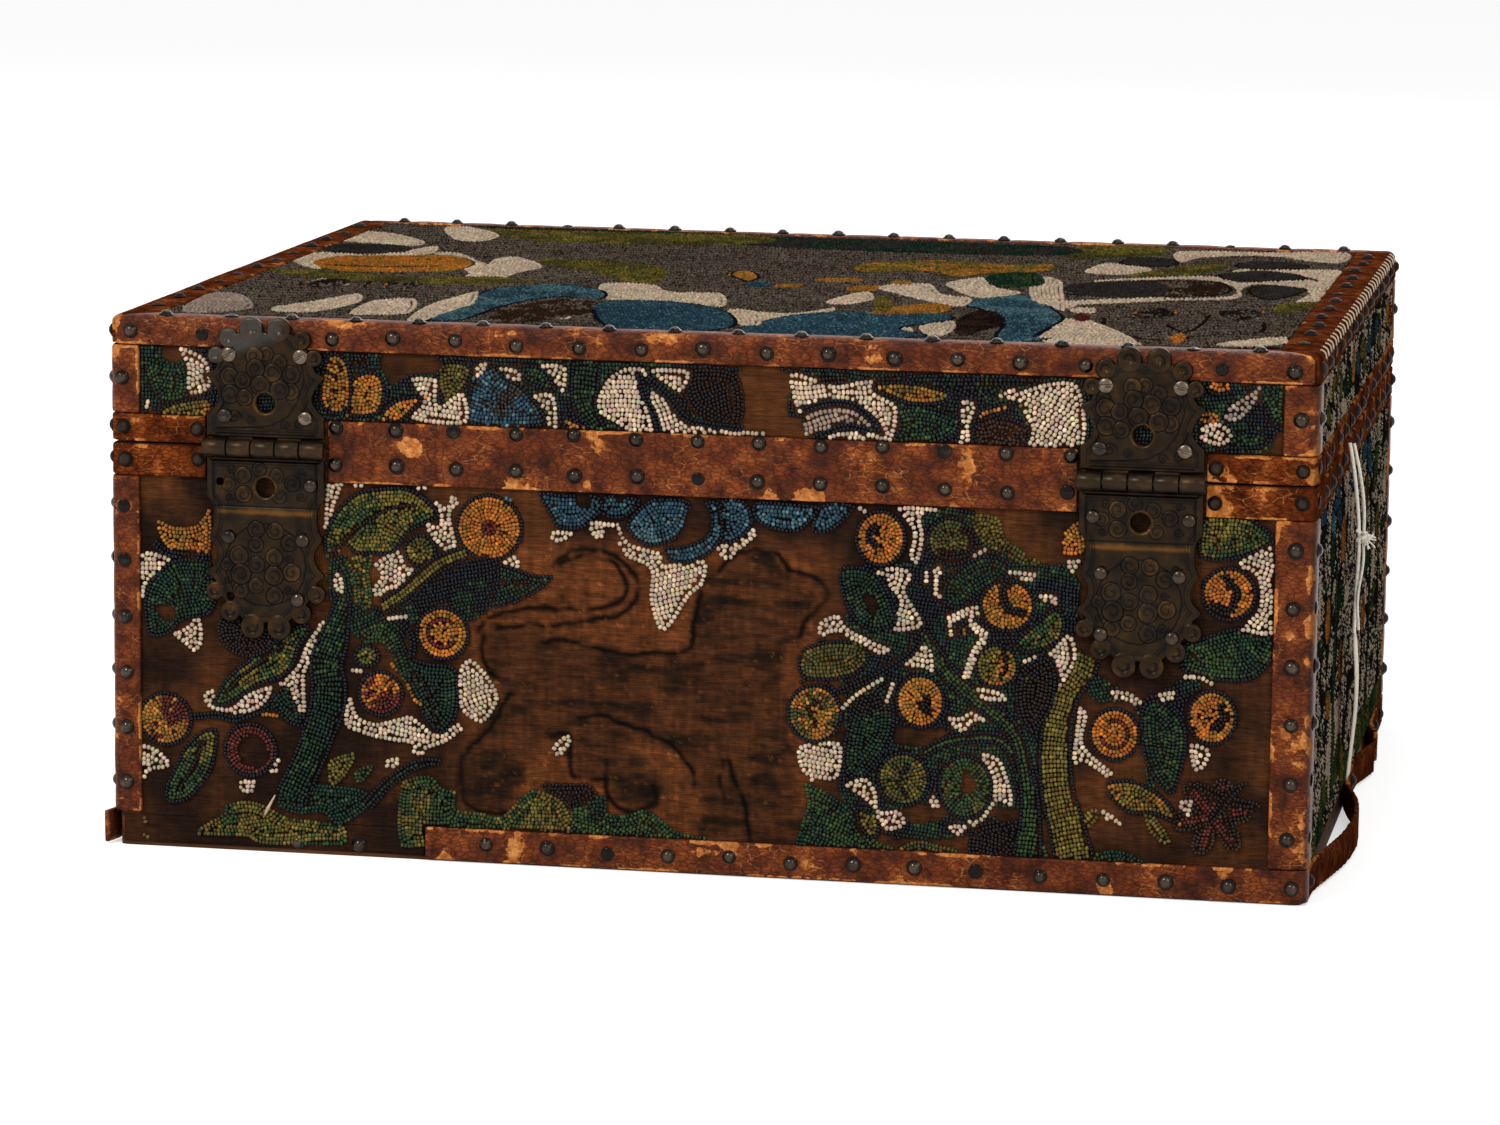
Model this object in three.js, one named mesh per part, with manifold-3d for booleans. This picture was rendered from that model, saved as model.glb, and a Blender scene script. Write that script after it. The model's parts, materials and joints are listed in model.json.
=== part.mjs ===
// A beadwork document box. A wooden case with a hinged lid is covered with glass-bead embroidery on
// linen and bound along every edge with nailed leather strips. Two engraved butterfly hinges and a
// leather band between them carry the lid.
//
// Millimetres, +Z up. The origin is the centre of the base's underside. The hinges are on the rear,
// which faces -Y, and the lid opens from the front, which faces +Y.
import * as THREE from 'three';
import { mergeVertices } from 'three/addons/utils/BufferGeometryUtils.js';
import ManifoldModule from 'manifold-3d';

// The wooden box
const boxLength = 416;
const boxDepth = 332;
const caseHeight = 143;
const lidHeight = 42.4;
const seamGap = 0.6;
const wallThick = 9;
const baseThick = 8;
const topThick = 8;
const arrisRound = 3;

// The cloth lining stops short of the rim
const liningThick = 0.8;
const liningDrop = 1.5;

// The embroidery: linen and beads together. Its main motifs swell this much above its ground.
const beadworkThick = 1.6;
const motifRise = 0.7;

// The leather strips. Their inner bend is tighter than the arris they turn over.
const leatherThick = 2;
const bendEase = 1;
const topStripDrop = 10.5;
const longStripWidth = 9.8;
const endStripWidth = 15;
const mitreGap = 0.4;
const lidRimTall = 9.9;
const caseRimTall = 11.2;
const baseStripTall = 11.6;
const baseStripLift = 0.6;
const baseStripLap = 5;
const lidCornerLeft = 11.2;
const lidCornerRight = 12.4;
const caseCornerLeft = 10.8;
const caseCornerRight = 14.1;
const cornerOnEnd = 12;
const cornerOnFront = 12;

// What is left of the rear base strip starts here, as a share of the box's length from its middle
const tornStartShare = -0.233;

// The round-headed tacks
const tackRadius = 2.5;
const tackTall = 1.4;
const tackSides = 5;
const longPitch = 22;
const endPitch = 25;
const cornerPitch = 21;
const tackFromCorner = 5.6;
const tackFromHinge = 3;
const tackFromTop = 5.7;
const tackOnTopIn = 5.4;
const tackOnEndTopIn = 9;

// The hinges
const leftHingeShare = -0.369;
const rightHingeShare = 0.3625;
const leafWidth = 42.4;
const leafGap = 0.5;
const plateThick = 1.6;
const plateBevel = 0.7;
const plateBevelWide = 1.1;
const barrelLength = 43.4;
const barrelRadius = 3.1;
const knuckleGap = 0.4;
const knuckleClear = 0.4;
const knuckleCount = 5;
const knuckleSides = 12;
const pinRadius = 1.3;
const pinClear = 0.4;
const pinSides = 8;
const lidLeafTall = 41;
const caseLeafTall = 62.5;
const petalThick = 2;
const petalRim = 0.9;
const petalSides = 9;
const headSides = 8;
const eyeRadius = 4.1;
const eyeFoot = 3.1;
const eyeSides = 10;
const raisedTall = 24;
const raisedThick = 0.6;
const raisedInset = 1.6;
const screwRadius = 2.6;
const screwTall = 1.5;
const screwFlatShare = 0.55;
const nailHole = 1.3;

// The string and its blank tag
const stringRadius = 0.7;
const tagTall = 52;
const tagWide = 12;
const tagThick = 0.6;
const touchGap = 0.3;

// Cutting bodies run past the material by this much
const overrun = 4;

// Twice this many segments make a quarter of a rounded arris
const arcSteps = 2;
const fullCircle = 2 * Math.PI;

// Sizes that follow from the ones above
const tornStart = tornStartShare * boxLength;
const leftHingeAt = leftHingeShare * boxLength;
const rightHingeAt = rightHingeShare * boxLength;
const halfLength = boxLength / 2;
const halfDepth = boxDepth / 2;
const lidBottom = caseHeight + seamGap;
const lidTop = lidBottom + lidHeight;
const skinLength = halfLength + leatherThick;
const skinDepth = halfDepth + leatherThick;
const skinTop = lidTop + leatherThick;
const innerBend = arrisRound - bendEase;
const outerBend = innerBend + leatherThick;
const lidRimTop = lidBottom + lidRimTall;
const caseRimFoot = caseHeight - caseRimTall;
const baseStripTop = baseStripLift + baseStripTall;
const topStripFoot = skinTop - topStripDrop;
const seamMiddle = caseHeight + seamGap / 2;
const pinAxisY = -skinDepth - barrelRadius;
const hinges = { left: leftHingeAt, right: rightHingeAt };
const bandStart = leftHingeAt + leafWidth / 2 + leafGap;
const bandEnd = rightHingeAt - leafWidth / 2 - leafGap;
const stubLeft = leftHingeAt - leafWidth / 2 - leafGap;
const stubRight = rightHingeAt + leafWidth / 2 + leafGap;

// Materials
const look = (color, roughness, metalness) => (
  new THREE.MeshStandardMaterial({ color, roughness, metalness })
);
const wood = look(0x5a3a20, 0.8, 0);
const cloth = look(0x6b4a34, 0.95, 0);
const beadwork = look(0x3f4a3c, 0.45, 0);
const leather = look(0x8a4a24, 0.6, 0);
const brass = look(0x3a2f22, 0.45, 0.8);
const steel = look(0x55504a, 0.4, 0.9);
const cotton = look(0xe6e0d2, 0.95, 0);
const card = look(0xeee6d2, 0.9, 0);

const wasm = await ManifoldModule();
wasm.setup();

// A closed geometry as a solid
function solid(geometry) {
  const bare = geometry.index ? geometry.toNonIndexed() : geometry.clone();
  bare.deleteAttribute('normal');
  bare.deleteAttribute('uv');
  const merged = mergeVertices(bare);
  return new wasm.Manifold(new wasm.Mesh({
    numProp: merged.attributes.position.itemSize,
    vertProperties: new Float32Array(merged.attributes.position.array),
    triVerts: new Uint32Array(merged.index.array),
  }));
}

// A solid as a geometry again
function geometryOf(body) {
  const mesh = body.getMesh();
  const geometry = new THREE.BufferGeometry();
  const points = new THREE.BufferAttribute(new Float32Array(mesh.vertProperties), 3);
  geometry.setAttribute('position', points);
  geometry.setIndex(new THREE.BufferAttribute(new Uint32Array(mesh.triVerts), 1));
  const flat = geometry.toNonIndexed();
  flat.computeVertexNormals();
  return flat;
}

const rearward = new THREE.Vector3(0, -1, 0);
const frontward = new THREE.Vector3(0, 1, 0);
const leftward = new THREE.Vector3(-1, 0, 0);
const rightward = new THREE.Vector3(1, 0, 0);
const upward = new THREE.Vector3(0, 0, 1);

const box = new THREE.Group();
const caseGroup = new THREE.Group();
const lidGroup = new THREE.Group();
box.add(caseGroup, lidGroup);

function addPiece(group, name, shape, material) {
  const geometry = shape.isBufferGeometry ? shape : geometryOf(shape);
  const mesh = new THREE.Mesh(geometry, material);
  mesh.name = name;
  group.add(mesh);
}

// An axis-aligned block whose corners lie exactly on the given planes
function blockGeometry(x0, x1, y0, y1, z0, z1) {
  const geometry = new THREE.BoxGeometry();
  const points = geometry.attributes.position;
  for (let i = 0; i < points.count; i += 1) {
    points.setXYZ(
      i,
      points.getX(i) < 0 ? x0 : x1,
      points.getY(i) < 0 ? y0 : y1,
      points.getZ(i) < 0 ? z0 : z1,
    );
  }
  return geometry;
}

const block = (...corners) => solid(blockGeometry(...corners));

function extrude(shape, depth) {
  return new THREE.ExtrudeGeometry(shape, { depth, bevelEnabled: false, curveSegments: arcSteps });
}

// A rectangle round the origin with all four corners rounded
function roundedRectangle(width, depth, radius) {
  const x = width / 2 - radius;
  const y = depth / 2 - radius;
  const shape = new THREE.Shape();
  shape.absarc(x, y, radius, 0, Math.PI / 2);
  shape.absarc(-x, y, radius, Math.PI / 2, Math.PI);
  shape.absarc(-x, -y, radius, Math.PI, 3 * Math.PI / 2);
  shape.absarc(x, -y, radius, 3 * Math.PI / 2, 2 * Math.PI);
  return shape;
}

// A section standing on foot whose two top corners are rounded
function archedSection(width, foot, top, radius) {
  const x = width / 2;
  const shape = new THREE.Shape();
  shape.moveTo(-x, foot);
  shape.lineTo(x, foot);
  shape.absarc(x - radius, top - radius, radius, 0, Math.PI / 2);
  shape.absarc(-x + radius, top - radius, radius, Math.PI / 2, Math.PI);
  return shape;
}

const alongX = new THREE.Matrix4().makeBasis(
  new THREE.Vector3(0, 1, 0),
  new THREE.Vector3(0, 0, 1),
  new THREE.Vector3(1, 0, 0),
);

// The upright box form with rounded vertical arrises
function uprightForm(length, depth, foot, top, radius) {
  const tall = top - foot + 2 * overrun;
  const column = extrude(roundedRectangle(length, depth, radius), tall);
  return solid(column.translate(0, 0, foot - overrun))
    .intersect(block(-length, length, -depth, depth, foot, top));
}

// The lid form, which is rounded along its top edges as well
function lidForm(length, depth, foot, top, radius) {
  const across = extrude(archedSection(length, foot, top, radius), depth + 2 * overrun);
  across.rotateX(Math.PI / 2).translate(0, depth / 2 + overrun, 0);
  const along = extrude(archedSection(depth, foot, top, radius), length + 2 * overrun);
  along.applyMatrix4(alongX).translate(-length / 2 - overrun, 0, 0);
  return uprightForm(length, depth, foot, top, radius)
    .intersect(solid(across))
    .intersect(solid(along));
}

// The boards: the rear and front run full length, and the ends stand between them
function addBoards(group, prefix, form, foot, top) {
  const inY = halfDepth - wallThick;
  const inX = halfLength - wallThick;
  const outX = halfLength + overrun;
  const outY = halfDepth + overrun;
  const cuts = {
    rear: block(-outX, outX, -outY, -inY, foot, top),
    front: block(-outX, outX, inY, outY, foot, top),
    left: block(-outX, -inX, -inY, inY, foot, top),
    right: block(inX, outX, -inY, inY, foot, top),
  };
  for (const [side, cut] of Object.entries(cuts)) {
    addPiece(group, `${prefix}_${side}_board`, form.intersect(cut), wood);
  }
}

const caseForm = uprightForm(boxLength, boxDepth, 0, caseHeight, arrisRound);
addBoards(caseGroup, 'case', caseForm, 0, caseHeight);
addPiece(caseGroup, 'case_bottom_board', blockGeometry(
  -halfLength + wallThick, halfLength - wallThick,
  -halfDepth + wallThick, halfDepth - wallThick,
  0, baseThick,
), wood);

const lidWood = lidForm(boxLength, boxDepth, lidBottom, lidTop, arrisRound);
addBoards(lidGroup, 'lid', lidWood, lidBottom, lidTop - topThick);
addPiece(lidGroup, 'lid_top_board', lidWood.intersect(block(
  -halfLength - overrun, halfLength + overrun,
  -halfDepth - overrun, halfDepth + overrun,
  lidTop - topThick, lidTop + overrun,
)), wood);

// The linings are open trays that fill the inside of the case and of the lid
const roomX = halfLength - wallThick;
const roomY = halfDepth - wallThick;
const linedX = roomX - liningThick;
const linedY = roomY - liningThick;
addPiece(caseGroup, 'case_lining', block(
  -roomX, roomX, -roomY, roomY, baseThick, caseHeight - liningDrop,
).subtract(block(
  -linedX, linedX, -linedY, linedY, baseThick + liningThick, caseHeight + overrun,
)), cloth);
addPiece(lidGroup, 'lid_lining', block(
  -roomX, roomX, -roomY, roomY, lidBottom + liningDrop, lidTop - topThick,
).subtract(block(
  -linedX, linedX, -linedY, linedY, lidBottom - overrun, lidTop - topThick - liningThick,
)), cloth);

// Motifs of the embroidery. A leaf has its place across and up from the panel's middle as shares of
// the panel's half sizes, its length and width as shares of the half height, and its turn as a share
// of half a circle. A fruit has its place and its radius, and a trunk its places and widths.
const rearMotifShares = {
  fruits: [
    [-0.45, 0.15, 0.165], [-0.81, 0.1, 0.17], [-0.955, -0.43, 0.12], [-0.8, -0.6, 0.16],
    [-0.565, -0.23, 0.14], [-0.365, 0.77, 0.2], [0.32, 0.8, 0.16], [0.445, 0.8, 0.15],
    [0.545, 0.45, 0.165], [0.53, 0.1, 0.14], [0.4, -0.13, 0.16], [0.21, -0.23, 0.17],
    [0.37, -0.585, 0.16], [0.48, -0.62, 0.175], [0.73, -0.27, 0.155], [0.9, -0.13, 0.155],
    [0.925, 0.57, 0.155],
  ],
  leaves: [
    [-0.56, 0.75, 0.72, 0.34, 0.13], [-0.92, 0.28, 0.5, 0.34, 0.26],
    [-0.78, -0.1, 0.72, 0.21, 0.22], [-0.555, 0.02, 0.38, 0.17, 0.73],
    [-0.91, -0.68, 0.5, 0.2, 0.32], [-0.465, -0.23, 0.47, 0.28, 0.62],
    [-0.35, 0.43, 0.63, 0.27, 0.06], [-0.355, -0.84, 1, 0.24, 0], [-0.1, -0.84, 0.7, 0.16, 0.97],
    [-0.225, 0.86, 0.38, 0.2, 0], [-0.07, 0.81, 0.4, 0.24, 0.13], [0.03, 0.79, 0.42, 0.2, 0.28],
    [0.16, 0.88, 0.38, 0.16, 0], [0.3, 0.45, 0.43, 0.27, 0.71], [0.61, 0.32, 0.32, 0.17, 0.23],
    [0.245, 0.08, 0.42, 0.22, 0.06], [0.31, -0.3, 0.58, 0.27, 0.43],
    [0.595, -0.03, 0.42, 0.22, 0.44], [0.27, -0.82, 0.6, 0.22, 0.89],
    [0.82, -0.32, 0.53, 0.23, 0.53], [0.78, -0.63, 0.47, 0.18, 0.88],
    [0.94, 0.83, 0.34, 0.22, 0], [0.93, 0.24, 0.4, 0.26, 0.07],
  ],
  trunks: [
    [[-0.63, 0.33, 0.1], [-0.65, 0.07, 0.18], [-0.665, -0.2, 0.21], [-0.685, -0.5, 0.2],
      [-0.725, -0.87, 0.18]],
    [[0.4, 0.26, 0.06], [0.465, 0.03, 0.08], [0.52, -0.2, 0.08], [0.555, -0.53, 0.1],
      [0.58, -0.9, 0.12]],
    [[0.69, 0.18, 0.11], [0.66, -0.03, 0.13], [0.645, -0.37, 0.13], [0.655, -0.7, 0.15],
      [0.67, -0.93, 0.17]],
  ],
};
const lidRearMotifShares = {
  fruits: [[-0.59, -0.1, 0.6], [-0.34, 0, 0.7], [0.52, -0.3, 0.55]],
  leaves: [
    [-0.93, 0, 1.2, 0.9, 0.1], [-0.53, -0.55, 1.3, 0.6, 0.06], [-0.44, 0.2, 1.3, 0.8, 0.3],
    [0.02, 0, 1.6, 1.1, 0.8], [0.35, 0.4, 2.3, 0.6, 0.97], [0.4, -0.5, 1.9, 0.8, 0.95],
    [0.51, 0.5, 1.5, 0.6, 0.2], [0.93, 0, 1.2, 0.8, 0.75],
  ],
  trunks: [],
};
const topMotifShares = {
  fruits: [
    [-0.835, -0.33, 0.07], [-0.69, -0.3, 0.07], [0.72, -0.39, 0.07], [0.88, -0.36, 0.07],
    [-0.1, 0.2, 0.06], [-0.88, 0.42, 0.1],
  ],
  leaves: [
    [-0.8, 0.11, 0.38, 0.3, 0.51], [-0.765, -0.16, 0.53, 0.16, 0.96],
    [-0.48, 0.83, 0.66, 0.22, 0], [-0.395, 0.1, 0.5, 0.19, 0.72], [-0.405, -0.57, 0.7, 0.24, 0.44],
    [-0.12, -0.7, 0.5, 0.28, 0.62], [0.09, 0.83, 0.8, 0.2, 0.98], [0.52, 0.82, 0.3, 0.2, 0.31],
    [0.255, 0.37, 0.48, 0.3, 0.09], [0.405, 0.17, 0.28, 0.12, 0.53],
    [0.29, -0.45, 0.24, 0.13, 0.36], [0.215, -0.7, 0.46, 0.3, 0.33],
    [0.44, -0.66, 0.4, 0.1, 0.51], [0.53, -0.5, 0.7, 0.18, 0.56], [0.605, 0.05, 0.3, 0.22, 0.48],
    [0.615, 0.66, 0.2, 0.14, 0.53], [0.86, 0.66, 0.18, 0.16, 0.41],
    [0.86, 0.42, 0.2, 0.18, 0.39], [0.885, 0.1, 0.27, 0.13, 0.49],
    [0.69, 0.48, 0.32, 0.12, 0.35], [0.94, -0.2, 0.22, 0.08, 0.44],
    [-0.8, 0.82, 0.3, 0.16, 0.3], [-0.84, -0.78, 0.4, 0.16, 0.54], [0.88, -0.82, 0.3, 0.14, 0.4],
    [-0.62, -0.78, 0.36, 0.12, 0.45], [0.68, -0.8, 0.38, 0.12, 0.6],
  ],
  trunks: [
    [[-0.34, 0.6, 0.03], [-0.1, 0.63, 0.03], [0.12, 0.58, 0.03], [0.4, 0.62, 0.03]],
    [[-0.34, 0.42, 0.03], [-0.15, 0.46, 0.03], [0.02, 0.4, 0.03]],
    [[-0.28, 0.26, 0.03], [-0.1, 0.3, 0.03], [0.06, 0.24, 0.03], [0.2, 0.14, 0.03]],
    [[-0.26, 0.1, 0.03], [-0.06, 0.08, 0.03], [0.14, 0.02, 0.03], [0.3, 0.04, 0.03]],
    [[-0.3, -0.06, 0.03], [-0.08, -0.1, 0.03], [0.12, -0.14, 0.03], [0.3, -0.1, 0.03]],
    [[-0.6, -0.34, 0.03], [-0.3, -0.24, 0.03], [-0.04, -0.3, 0.03], [0.14, -0.28, 0.03]],
    [[-0.6, 0.56, 0.03], [-0.76, 0.6, 0.03], [-0.92, 0.62, 0.03]],
  ],
};

// A tree of the front and the ends. Its places run across and up from the middle of its own stretch
// of the panel, and with its sizes they are shares of the panel's half height.
const treeShares = {
  fruits: [[-0.52, 0.27, 0.16], [0.44, 0.6, 0.16], [0.47, -0.14, 0.15]],
  leaves: [
    [0.3, 0.23, 0.46, 0.22, 0.1], [-0.32, 0.68, 0.46, 0.22, 0.8], [-0.36, -0.2, 0.44, 0.2, 0.88],
    [0.5, -0.82, 0.84, 0.24, 0], [-0.5, -0.84, 0.6, 0.2, 0],
  ],
  trunk: [[0.1, -0.9, 0.2], [0, -0.25, 0.14], [0.04, 0.5, 0.09]],
};
const frontTrees = 3;
const endTrees = 2;

// The unit outline of a leaf as shares of its length and width, and the share of any motif's outline
// that its flat crest takes up
const leafOutlineShares = [[-0.5, 0], [-0.04, 0.5], [0.5, 0], [0.04, -0.5]];
const crestShare = 0.76;
const fruitSides = 6;

// A low swelling in a panel's own plane, w being the height over the wood
const groundThick = beadworkThick - motifRise;
const swelling = (outline, crest) => wasm.Manifold.hull([
  ...outline.map(([u, v]) => [u, v, groundThick / 2]),
  ...outline.map(([u, v]) => [u, v, groundThick]),
  ...crest.map(([u, v]) => [u, v, beadworkThick]),
]);

const regular = (u, v, radius, sides) => Array.from({ length: sides }, (_, i) => [
  u + radius * Math.cos(fullCircle * i / sides),
  v + radius * Math.sin(fullCircle * i / sides),
]);

function leafSwelling(u, v, long, wide, turn) {
  const place = (share) => ([along, across]) => {
    const point = new THREE.Vector2(share * along * long, share * across * wide);
    point.rotateAround(new THREE.Vector2(), turn * Math.PI);
    return [u + point.x, v + point.y];
  };
  return swelling(leafOutlineShares.map(place(1)), leafOutlineShares.map(place(crestShare)));
}

// One stretch of a trunk, between two of its places
function trunkSwelling([u0, v0, wide0], [u1, v1, wide1]) {
  const aside = new THREE.Vector2(v0 - v1, u1 - u0).normalize();
  const beside = (u, v, wide, way) => [u + way * aside.x * wide / 2, v + way * aside.y * wide / 2];
  const ends = (share) => [
    beside(u0, v0, wide0, share), beside(u0, v0, wide0, -share),
    beside(u1, v1, wide1, -share), beside(u1, v1, wide1, share),
  ];
  return swelling(ends(1), ends(crestShare));
}

// A panel lying in its own plane round its middle, with its motifs raised
function motifPanel(length, height, motifShares) {
  const halfU = length / 2;
  const halfV = height / 2;
  const swellings = [];
  for (const [across, up, radius] of motifShares.fruits) {
    const [u, v] = [across * halfU, up * halfV];
    swellings.push(swelling(
      regular(u, v, radius * halfV, fruitSides),
      regular(u, v, crestShare * radius * halfV, fruitSides),
    ));
  }
  for (const [across, up, long, wide, turn] of motifShares.leaves) {
    swellings.push(leafSwelling(across * halfU, up * halfV, long * halfV, wide * halfV, turn));
  }
  for (const trunk of motifShares.trunks) {
    const path = trunk.map(([across, up, wide]) => [across * halfU, up * halfV, wide * halfV]);
    path.slice(1).forEach((end, i) => swellings.push(trunkSwelling(path[i], end)));
  }
  const ground = block(-halfU, halfU, -halfV, halfV, 0, groundThick);
  return wasm.Manifold.union([ground, ...swellings])
    .intersect(block(-halfU, halfU, -halfV, halfV, 0, 2 * beadworkThick));
}

// The motifs of a row of trees along a panel, every second tree being mirrored
function treeRow(count, length, height) {
  const motifs = { fruits: [], leaves: [], trunks: [] };
  for (let i = 0; i < count; i += 1) {
    const way = i % 2 === 0 ? 1 : -1;
    const across = (share) => (2 * i + 1) / count - 1 + way * share * height / length;
    const turned = (turn) => (way > 0 ? turn : 1 - turn);
    const { fruits, leaves, trunk } = treeShares;
    motifs.fruits.push(...fruits.map(([u, ...rest]) => [across(u), ...rest]));
    motifs.leaves.push(...leaves.map(([u, v, long, wide, turn]) => (
      [across(u), v, long, wide, turned(turn)]
    )));
    motifs.trunks.push(trunk.map(([u, ...rest]) => [across(u), ...rest]));
  }
  return motifs;
}

// The sides of the box: which way a panel's own length runs, the way the side faces, and how far
// out its boards stand
const sides = {
  rear: [rightward, rearward, halfDepth],
  front: [leftward, frontward, halfDepth],
  left: [rearward, leftward, halfLength],
  right: [frontward, rightward, halfLength],
};

// A panel with its motifs, stood up against the boards of a side
function addMotifPanel(group, prefix, side, from, to, foot, top, motifShares) {
  const [along, outward, out] = sides[side];
  const geometry = geometryOf(motifPanel(to - from, top - foot, motifShares));
  geometry.applyMatrix4(new THREE.Matrix4().makeBasis(along, upward, outward));
  const middle = along.clone().multiplyScalar((from + to) / 2).addScaledVector(outward, out);
  geometry.translate(middle.x, middle.y, (foot + top) / 2);
  addPiece(group, `${prefix}_${side}_beadwork`, geometry, beadwork);
}

// The beadwork panels fill each face between its leather strips. The lid's low ones are plain.
const frontHalf = skinLength - cornerOnFront;
const endHalf = skinDepth - cornerOnEnd;
const caseSpan = [baseStripTop, caseRimFoot];
const lidSpan = [lidRimTop, topStripFoot];
addMotifPanel(caseGroup, 'case', 'rear', -skinLength + caseCornerLeft,
  skinLength - caseCornerRight, ...caseSpan, rearMotifShares);
addMotifPanel(lidGroup, 'lid', 'rear', -skinLength + lidCornerLeft,
  skinLength - lidCornerRight, ...lidSpan, lidRearMotifShares);
for (const [side, half, trees] of [
  ['front', frontHalf, frontTrees], ['left', endHalf, endTrees], ['right', endHalf, endTrees],
]) {
  addMotifPanel(caseGroup, 'case', side, -half, half, ...caseSpan,
    treeRow(trees, 2 * half, caseRimFoot - baseStripTop));
}
const lidPanels = {
  front: [-frontHalf, frontHalf, halfDepth, halfDepth + beadworkThick],
  left: [-halfLength - beadworkThick, -halfLength, -endHalf, endHalf],
  right: [halfLength, halfLength + beadworkThick, -endHalf, endHalf],
};
for (const [side, planes] of Object.entries(lidPanels)) {
  addPiece(lidGroup, `lid_${side}_beadwork`, blockGeometry(...planes, ...lidSpan), beadwork);
}
addPiece(lidGroup, 'lid_top_beadwork', geometryOf(motifPanel(
  2 * (skinLength - endStripWidth), 2 * (skinDepth - longStripWidth), topMotifShares,
)).translate(0, 0, lidTop), beadwork);

// A tack head: a low faceted button whose foot is sunk in what it is driven through
const tackSink = leatherThick / 8;
const tackProfile = [
  new THREE.Vector2(0, -tackSink),
  new THREE.Vector2(tackRadius, -tackSink),
  new THREE.Vector2(0, tackTall),
];

function dome(profile, sides, x, y, z, facing) {
  const turn = new THREE.Quaternion().setFromUnitVectors(
    new THREE.Vector3(0, 1, 0),
    facing,
  );
  const geometry = new THREE.LatheGeometry(profile, sides);
  return solid(geometry.applyQuaternion(turn).translate(x, y, z));
}

const tack = (x, y, z, facing) => dome(tackProfile, tackSides, x, y, z, facing);

// Places from one end of a row to the other at about the given pitch
function row(from, to, pitch) {
  const steps = Math.max(1, Math.round((to - from) / pitch));
  return Array.from({ length: steps + 1 }, (_, i) => from + (to - from) * i / steps);
}

// A strip with its tacks driven in, each place being [x, y, z, facing]
const nailed = (strip, places) => places.reduce((body, place) => body.add(tack(...place)), strip);

const onRear = (xs, z) => xs.map((x) => [x, -skinDepth, z, rearward]);
const onFront = (xs, z) => xs.map((x) => [x, skinDepth, z, frontward]);
const onLeft = (ys, z) => ys.map((y) => [-skinLength, y, z, leftward]);
const onRight = (ys, z) => ys.map((y) => [skinLength, y, z, rightward]);
const onTop = (xs, y) => xs.map((x) => [x, y, skinTop, upward]);
const onTopEnd = (ys, x) => ys.map((y) => [x, y, skinTop, upward]);

const fromLeft = -skinLength + tackFromCorner;
const toRight = skinLength - tackFromCorner;
const fromRear = -skinDepth + tackFromCorner;
const toFront = skinDepth - tackFromCorner;
const frontRow = row(fromLeft, toRight, longPitch);
const endRow = row(fromRear, toFront, endPitch);
const stubRow = [
  ...row(fromLeft, stubLeft - tackFromHinge, longPitch),
  ...row(stubRight + tackFromHinge, toRight, longPitch),
];
const bandRow = row(bandStart + tackFromHinge, bandEnd - tackFromHinge, longPitch);

// The leather that the strips are cut from wraps the lid and the case
const lidLeather = lidForm(2 * skinLength, 2 * skinDepth, lidBottom, skinTop, outerBend)
  .subtract(lidForm(boxLength, boxDepth, lidBottom - overrun, lidTop, innerBend));
const caseLeather = uprightForm(2 * skinLength, 2 * skinDepth, baseStripLift, caseHeight, outerBend)
  .subtract(uprightForm(boxLength, boxDepth, -overrun, caseHeight + overrun, innerBend));

// A zone of the lid's top edge, seen from above, whose ends are mitred
function mitredZone(outX, outY, inX, inY, turned) {
  const spread = overrun;
  const slopeX = (outX - inX) / (outY - inY);
  const slopeY = (outY - inY) / (outX - inX);
  const shape = new THREE.Shape();
  if (turned) {
    const x = outX + spread;
    const y = outY + spread * slopeY - mitreGap / 2;
    shape.moveTo(x, -y);
    shape.lineTo(x, y);
    shape.lineTo(inX, inY - mitreGap / 2);
    shape.lineTo(inX, -inY + mitreGap / 2);
  } else {
    const y = outY + spread;
    const x = outX + spread * slopeX - mitreGap / 2;
    shape.moveTo(-x, y);
    shape.lineTo(x, y);
    shape.lineTo(inX - mitreGap / 2, inY);
    shape.lineTo(-inX + mitreGap / 2, inY);
  }
  return extrude(shape, topStripDrop + overrun).translate(0, 0, topStripFoot);
}

const topInX = skinLength - endStripWidth;
const topInY = skinDepth - longStripWidth;
const mitred = (turned, turn) => lidLeather.intersect(solid(
  mitredZone(skinLength, skinDepth, topInX, topInY, turned).rotateZ(turn),
));
const topRowZ = skinTop - tackFromTop;

// Beside each hinge the row on the rear face keeps clear of the leaf's petals
const petalClearShares = { left: [-0.54, 0.55], right: [-0.47, 0.62] };
const besideLeaf = (side, i) => hinges[side] + leafWidth * petalClearShares[side][i];
const rearTopEndShares = { left: 1.4, right: 1.6 };
const rearTopRow = [
  ...row(-skinLength + rearTopEndShares.left * tackFromCorner, besideLeaf('left', 0), longPitch),
  ...row(besideLeaf('left', 1), besideLeaf('right', 0), longPitch),
  ...row(besideLeaf('right', 1), skinLength - rearTopEndShares.right * tackFromCorner, longPitch),
];
const topLongRow = row(-topInX + tackFromCorner, topInX - tackFromCorner, longPitch);
const topEndX = skinLength - tackOnEndTopIn;
const topLongY = skinDepth - tackOnTopIn;

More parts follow.
